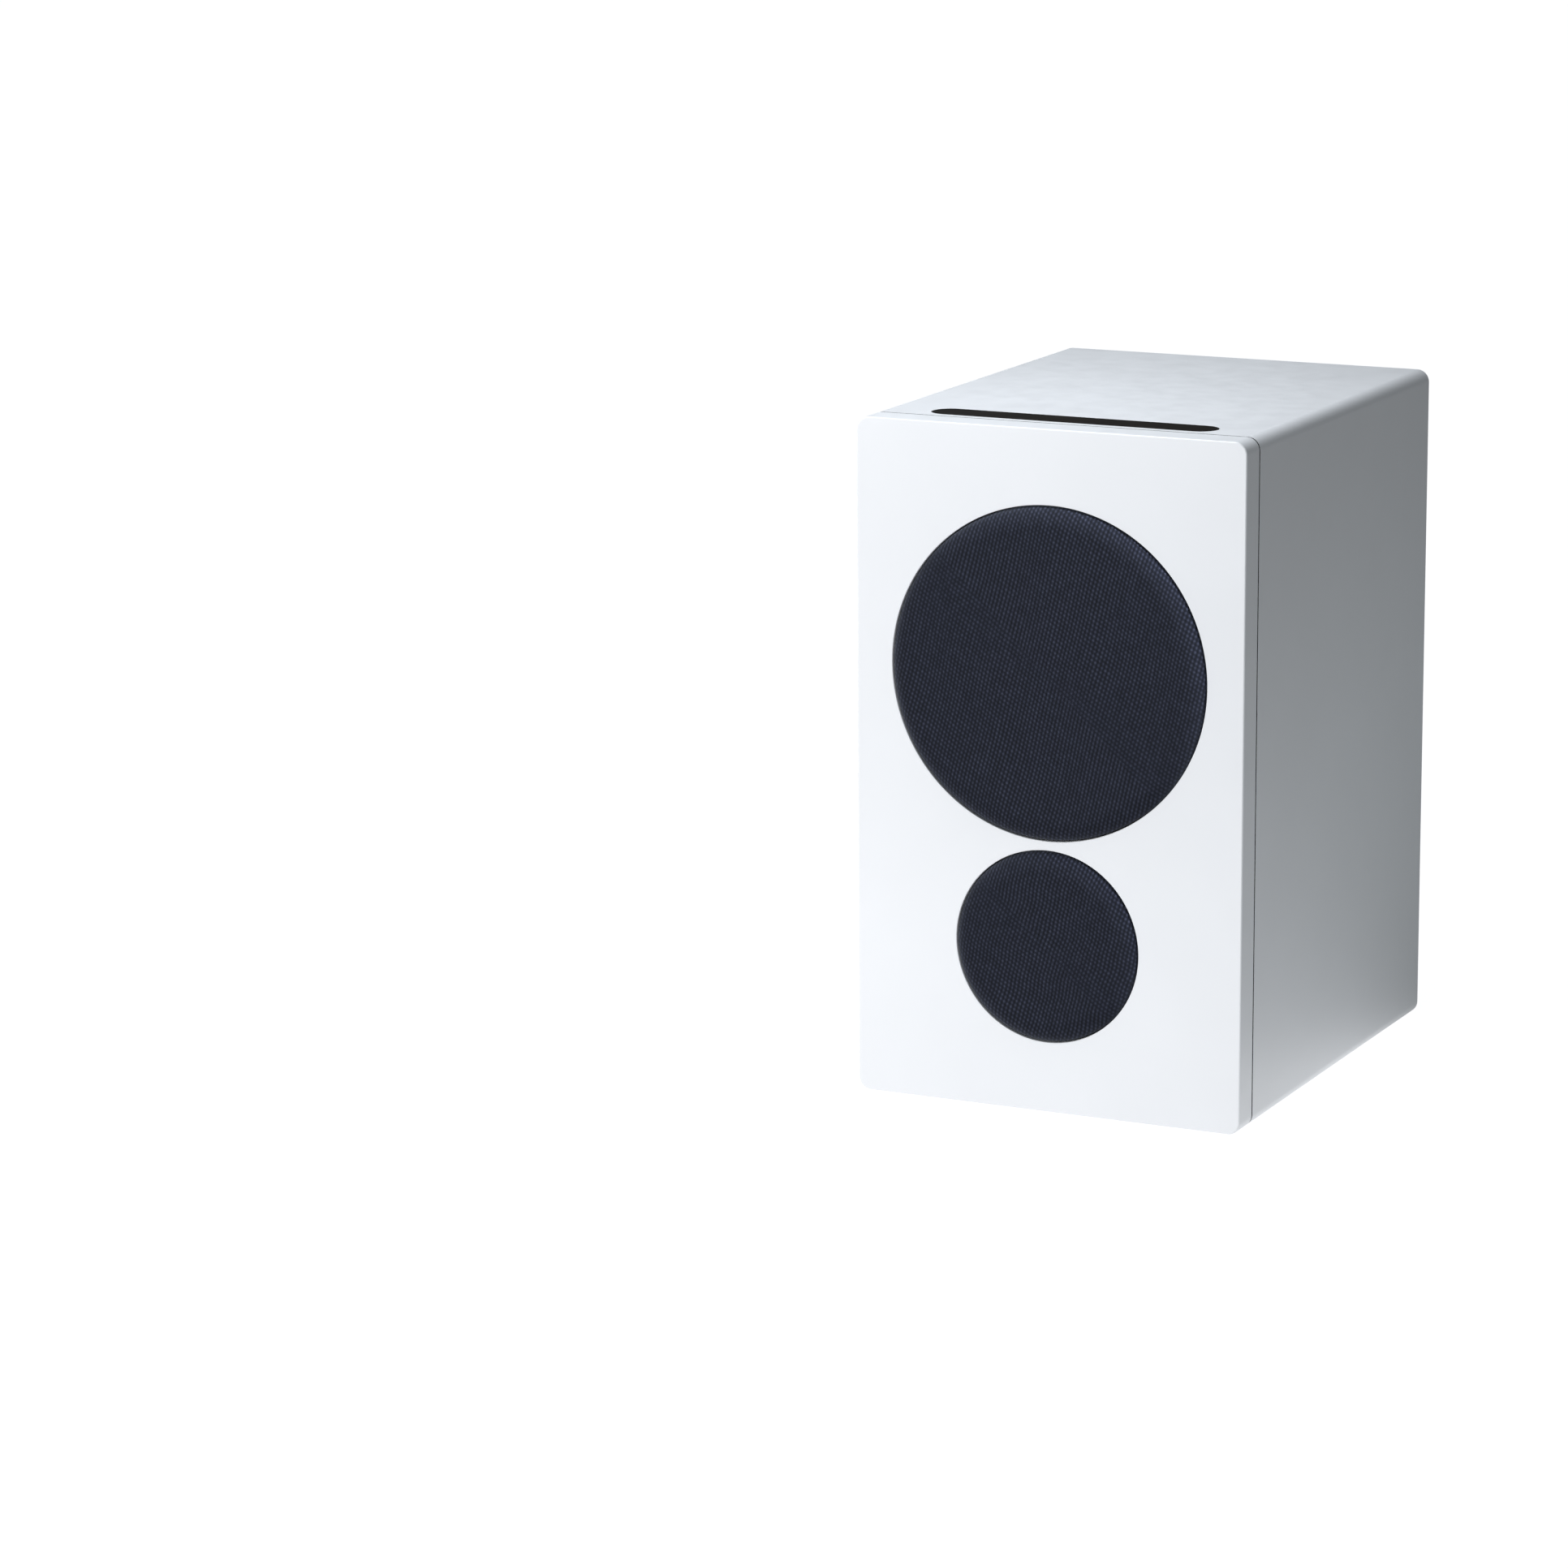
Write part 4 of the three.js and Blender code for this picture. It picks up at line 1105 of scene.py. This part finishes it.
def make_posts():
    low, high = box("terminal_base")
    seat = high.y - 3.4 * MM
    places = [flat_middle(side + "_post_stud")[0] for side in POSTS]
    bm = bmesh.new()
    rim = wall(bm, node_outline("terminal_base", 2.5 * MM, 8), edge_rows(high.y, seat, 0.6 * MM, 0.1 * MM))
    boss_rows = edge_rows(seat, low.y, 0.0, 0.4 * MM)
    bore_rows = edge_rows(high.y, low.y, 0.3 * MM, 0.2 * MM)
    bosses = [wall(bm, circle(place, 4.2 * MM, 64), boss_rows) for place in places]
    bores = [wall(bm, circle(place, POST_BORE, 64), bore_rows, -1) for place in places]
    cover(bm, rim[0], *[rings[0] for rings in bores])
    cover(bm, rim[-1], *[rings[0] for rings in bosses])
    for boss, bore in zip(bosses, bores):
        cover(bm, boss[-1], bore[-1])
    stand_in("terminal_block", bm, "terminal_base")
    for side in POSTS:
        turned_part(side + "_stud", side + "_post_stud", [
            (0, 0), (2.9, 0, 0.5), (2.9, 27, 0.35), (2.05, 27, 0.2), (2.05, 15), (0, 15),
        ], 0.2 * MM, 64)
        flat_ring(side + "_washer_plate", side + "_clamp_washer", 3.2, 0.35 * MM, 64)
        node = side + "_post_knob"
        low, high = box(node)
        place, width = flat_middle(node)[:2]
        bore = circle(place, POST_BORE, 168)
        bm = bmesh.new()
        slab(bm, fluted(place, width / 2, 14, 0.6 * MM), high.y, low.y, (0.9 * MM, 0.5 * MM), [bore],
             (0.5 * MM, 0.2 * MM))
        knob = stand_in(side + "_knob_cap", bm, node)
        if side == "positive":
            tint_face(knob, high.y, "lead_insulation")


def make_inputs():
    """The pair of line inputs: a block behind the plate, and two gold sleeves round their insulators."""
    front = box("rca_block")[0].y
    body_end = box("amp_plate")[0].y - CLEARANCE
    bm = bmesh.new()
    slab(bm, node_outline("rca_block", 1 * MM, 4), body_end, front, (0.3 * MM, 0.4 * MM))
    stand_in("input_block", bm, "rca_block")
    sleeve = [(3.55, -0.05), (4.15, -0.05), (4.15, -11.2, 0.4), (3.55, -11.2, 0.15)]
    insulator = [(1.6, -0.1), (3.5, -0.1), (3.5, -9.6, 0.3), (1.6, -9.6, 0.4)]
    for side, place, colour in zip(("left", "right"), input_places(), ("black_plastic", "lead_insulation")):
        for kind, rows, slot in (("sleeve", sleeve, "gold_plate"), ("insulator", insulator, colour)):
            profile = [
                (radius * MM, body_end - depth * MM, *(size * MM for size in rest))
                for radius, depth, *rest in rows
            ]
            bm = bmesh.new()
            lathe(bm, filleted(profile, 0.1 * MM), place, 64)
            add_piece(f"{side}_input_{kind}", bm, slot)


def make_button():
    turned_part("pairing_key", "pairing_button", [
        (0, 0), (1.5, 0), (1.5, 2.5), (4.2, 2.5), (4.2, 4.6), (3, 4.6), (3, 9.4, 0.6), (2.2, 9.4, 0.4),
        (0, 9.1),
    ], 0.15 * MM, 64)


make_port()
make_back_panel()
make_amp_plate()
make_sockets()
make_posts()
make_inputs()
make_button()
flat_ring("transformer_winding", "power_transformer", 11, 6 * MM, 96, ACROSS_TOP)

# ------------ remaining nodes


def dress(node):
    """Gives a CAD node its finish, softened edges and even shading."""
    piece = frame["nodes"][node]
    piece.data.materials.clear()
    piece.data.materials.append(LOOKS[SLOTS[node]])
    weld = piece.modifiers.new("weld", "WELD")
    weld.merge_threshold = 1e-6
    edge = piece.modifiers.new("edges", "BEVEL")
    edge.width = 0.2 * MM
    edge.segments = 2
    edge.limit_method = "ANGLE"
    edge.angle_limit = math.radians(35)
    normals = piece.modifiers.new("weighted_normals", "WEIGHTED_NORMAL")
    normals.keep_sharp = True


for undressed in SLOTS:
    if not frame["nodes"][undressed].hide_render:
        dress(undressed)

# ------------ studio

FLOOR_SEEN = 0.975  # the floor's own glow as it is seen
FLOOR_LIGHT = (0.86, 0.10)  # the glow that it gives the object from near and left of it, and from the right
FLOOR_FADE = (0.08, 0.17)  # where one turns into the other, in metres from the object's middle
FADE_DIRECTION = math.radians(31)  # from +X towards +Y
SKY_DARK = Vector((0.5, 0.86, 0.0))  # the surround is darkest this way
SKY_LIGHT = (0.57, -0.03)


def faded(nodes, links, socket, direction, start, end, low, high):
    """low to high as a place or direction in space goes from start to end along a direction."""
    along = nodes.new("ShaderNodeVectorMath")
    along.operation = "DOT_PRODUCT"
    along.inputs[1].default_value = direction
    links.new(socket, along.inputs[0])
    fade = nodes.new("ShaderNodeMapRange")
    fade.interpolation_type = "SMOOTHSTEP"
    links.new(along.outputs["Value"], fade.inputs["Value"])
    for name, value in (("From Min", start), ("From Max", end), ("To Min", low), ("To Max", high)):
        fade.inputs[name].default_value = value
    return fade.outputs[0]


def seen_or_lighting(nodes, links, seen, lighting):
    """seen where the camera looks straight at the studio, and lighting where the studio lights the object."""
    path = nodes.new("ShaderNodeLightPath")
    choice = nodes.new("ShaderNodeMix")
    links.new(path.outputs["Is Camera Ray"], choice.inputs["Factor"])
    links.new(lighting, choice.inputs["A"])
    choice.inputs["B"].default_value = seen
    return choice.outputs["Result"]


def make_floor():
    """A pale floor with a soft glow, which lights the object less from the right."""
    material = bpy.data.materials.new("pale_floor")
    material.use_nodes = True
    nodes, links = material.node_tree.nodes, material.node_tree.links
    shader = nodes["Principled BSDF"]
    shader.inputs["Base Color"].default_value = (0.20, 0.20, 0.204, 1)
    shader.inputs["Roughness"].default_value = 0.9
    shader.inputs["Specular IOR Level"].default_value = 0.0
    shader.inputs["Emission Color"].default_value = (0.985, 0.99, 1.0, 1)
    place = nodes.new("ShaderNodeTexCoord").outputs["Object"]
    direction = (math.cos(FADE_DIRECTION), math.sin(FADE_DIRECTION), 0)
    glow = faded(nodes, links, place, direction, *FLOOR_FADE, *FLOOR_LIGHT)
    links.new(seen_or_lighting(nodes, links, FLOOR_SEEN, glow), shader.inputs["Emission Strength"])
    bpy.ops.mesh.primitive_plane_add(size=60)
    floor = bpy.context.object
    floor.name = "floor"
    floor.data.materials.append(material)


def softbox(name, place, target, size, power, colour=(1, 1, 1)):
    lamp = bpy.data.lights.new(name, "AREA")
    lamp.shape = "RECTANGLE"
    lamp.size, lamp.size_y = size
    lamp.energy = power
    lamp.color = colour
    piece = linked(name, lamp)
    piece.location = place
    piece.rotation_euler = (Vector(target) - Vector(place)).to_track_quat("-Z", "Y").to_euler()
    piece.visible_camera = False
    return piece


def light_only(lamp, names):
    """Keeps a lamp's light to the named pieces."""
    receivers = bpy.data.collections.new(lamp.name + "_receivers")
    for name in names:
        receivers.objects.link(bpy.data.objects[name])
    lamp.light_linking.receiver_collection = receivers


def make_sky():
    """A plain pale surround that lights the object least from behind and from the right."""
    world = bpy.data.worlds.new("studio")
    bpy.context.scene.world = world
    world.use_nodes = True
    nodes, links = world.node_tree.nodes, world.node_tree.links
    direction = nodes.new("ShaderNodeTexCoord").outputs["Generated"]
    light = faded(nodes, links, direction, SKY_DARK.normalized(), -1, 1, *SKY_LIGHT)
    links.new(seen_or_lighting(nodes, links, 1.0, light), nodes["Background"].inputs["Strength"])
    nodes["Background"].inputs["Color"].default_value = (0.925, 0.98, 1.0, 1)


make_floor()
make_sky()
softbox("front_softbox", (-0.95, -1.0, 0.10), (0, 0, 0.06), (0.8, 0.8), 9.0, (1.0, 0.985, 0.965))
softbox("top_softbox", (-0.08, -0.14, 0.66), (0, -0.08, 0.3), (0.40, 0.30), 1.78, (0.93, 0.965, 1.0))
softbox("low_softbox", (-0.05, -0.32, 0.03), (0, -0.12, 0.02), (0.5, 0.06), 0.075)
softbox("right_softbox", (0.38, 0.03, 0.085), (0.09, 0.03, 0.085), (0.35, 0.05), 0.135, (0.90, 0.985, 1.0))
edge_lamp = softbox(
    "edge_softbox", (0.55, -0.165, 0.78), (0, -0.12, 0.19), (0.2, 0.2), 20.0, (0.93, 0.97, 1.0)
)
light_only(edge_lamp, ("woofer_cloth", "tweeter_cloth"))
bpy.context.scene.view_settings.view_transform = "Standard"
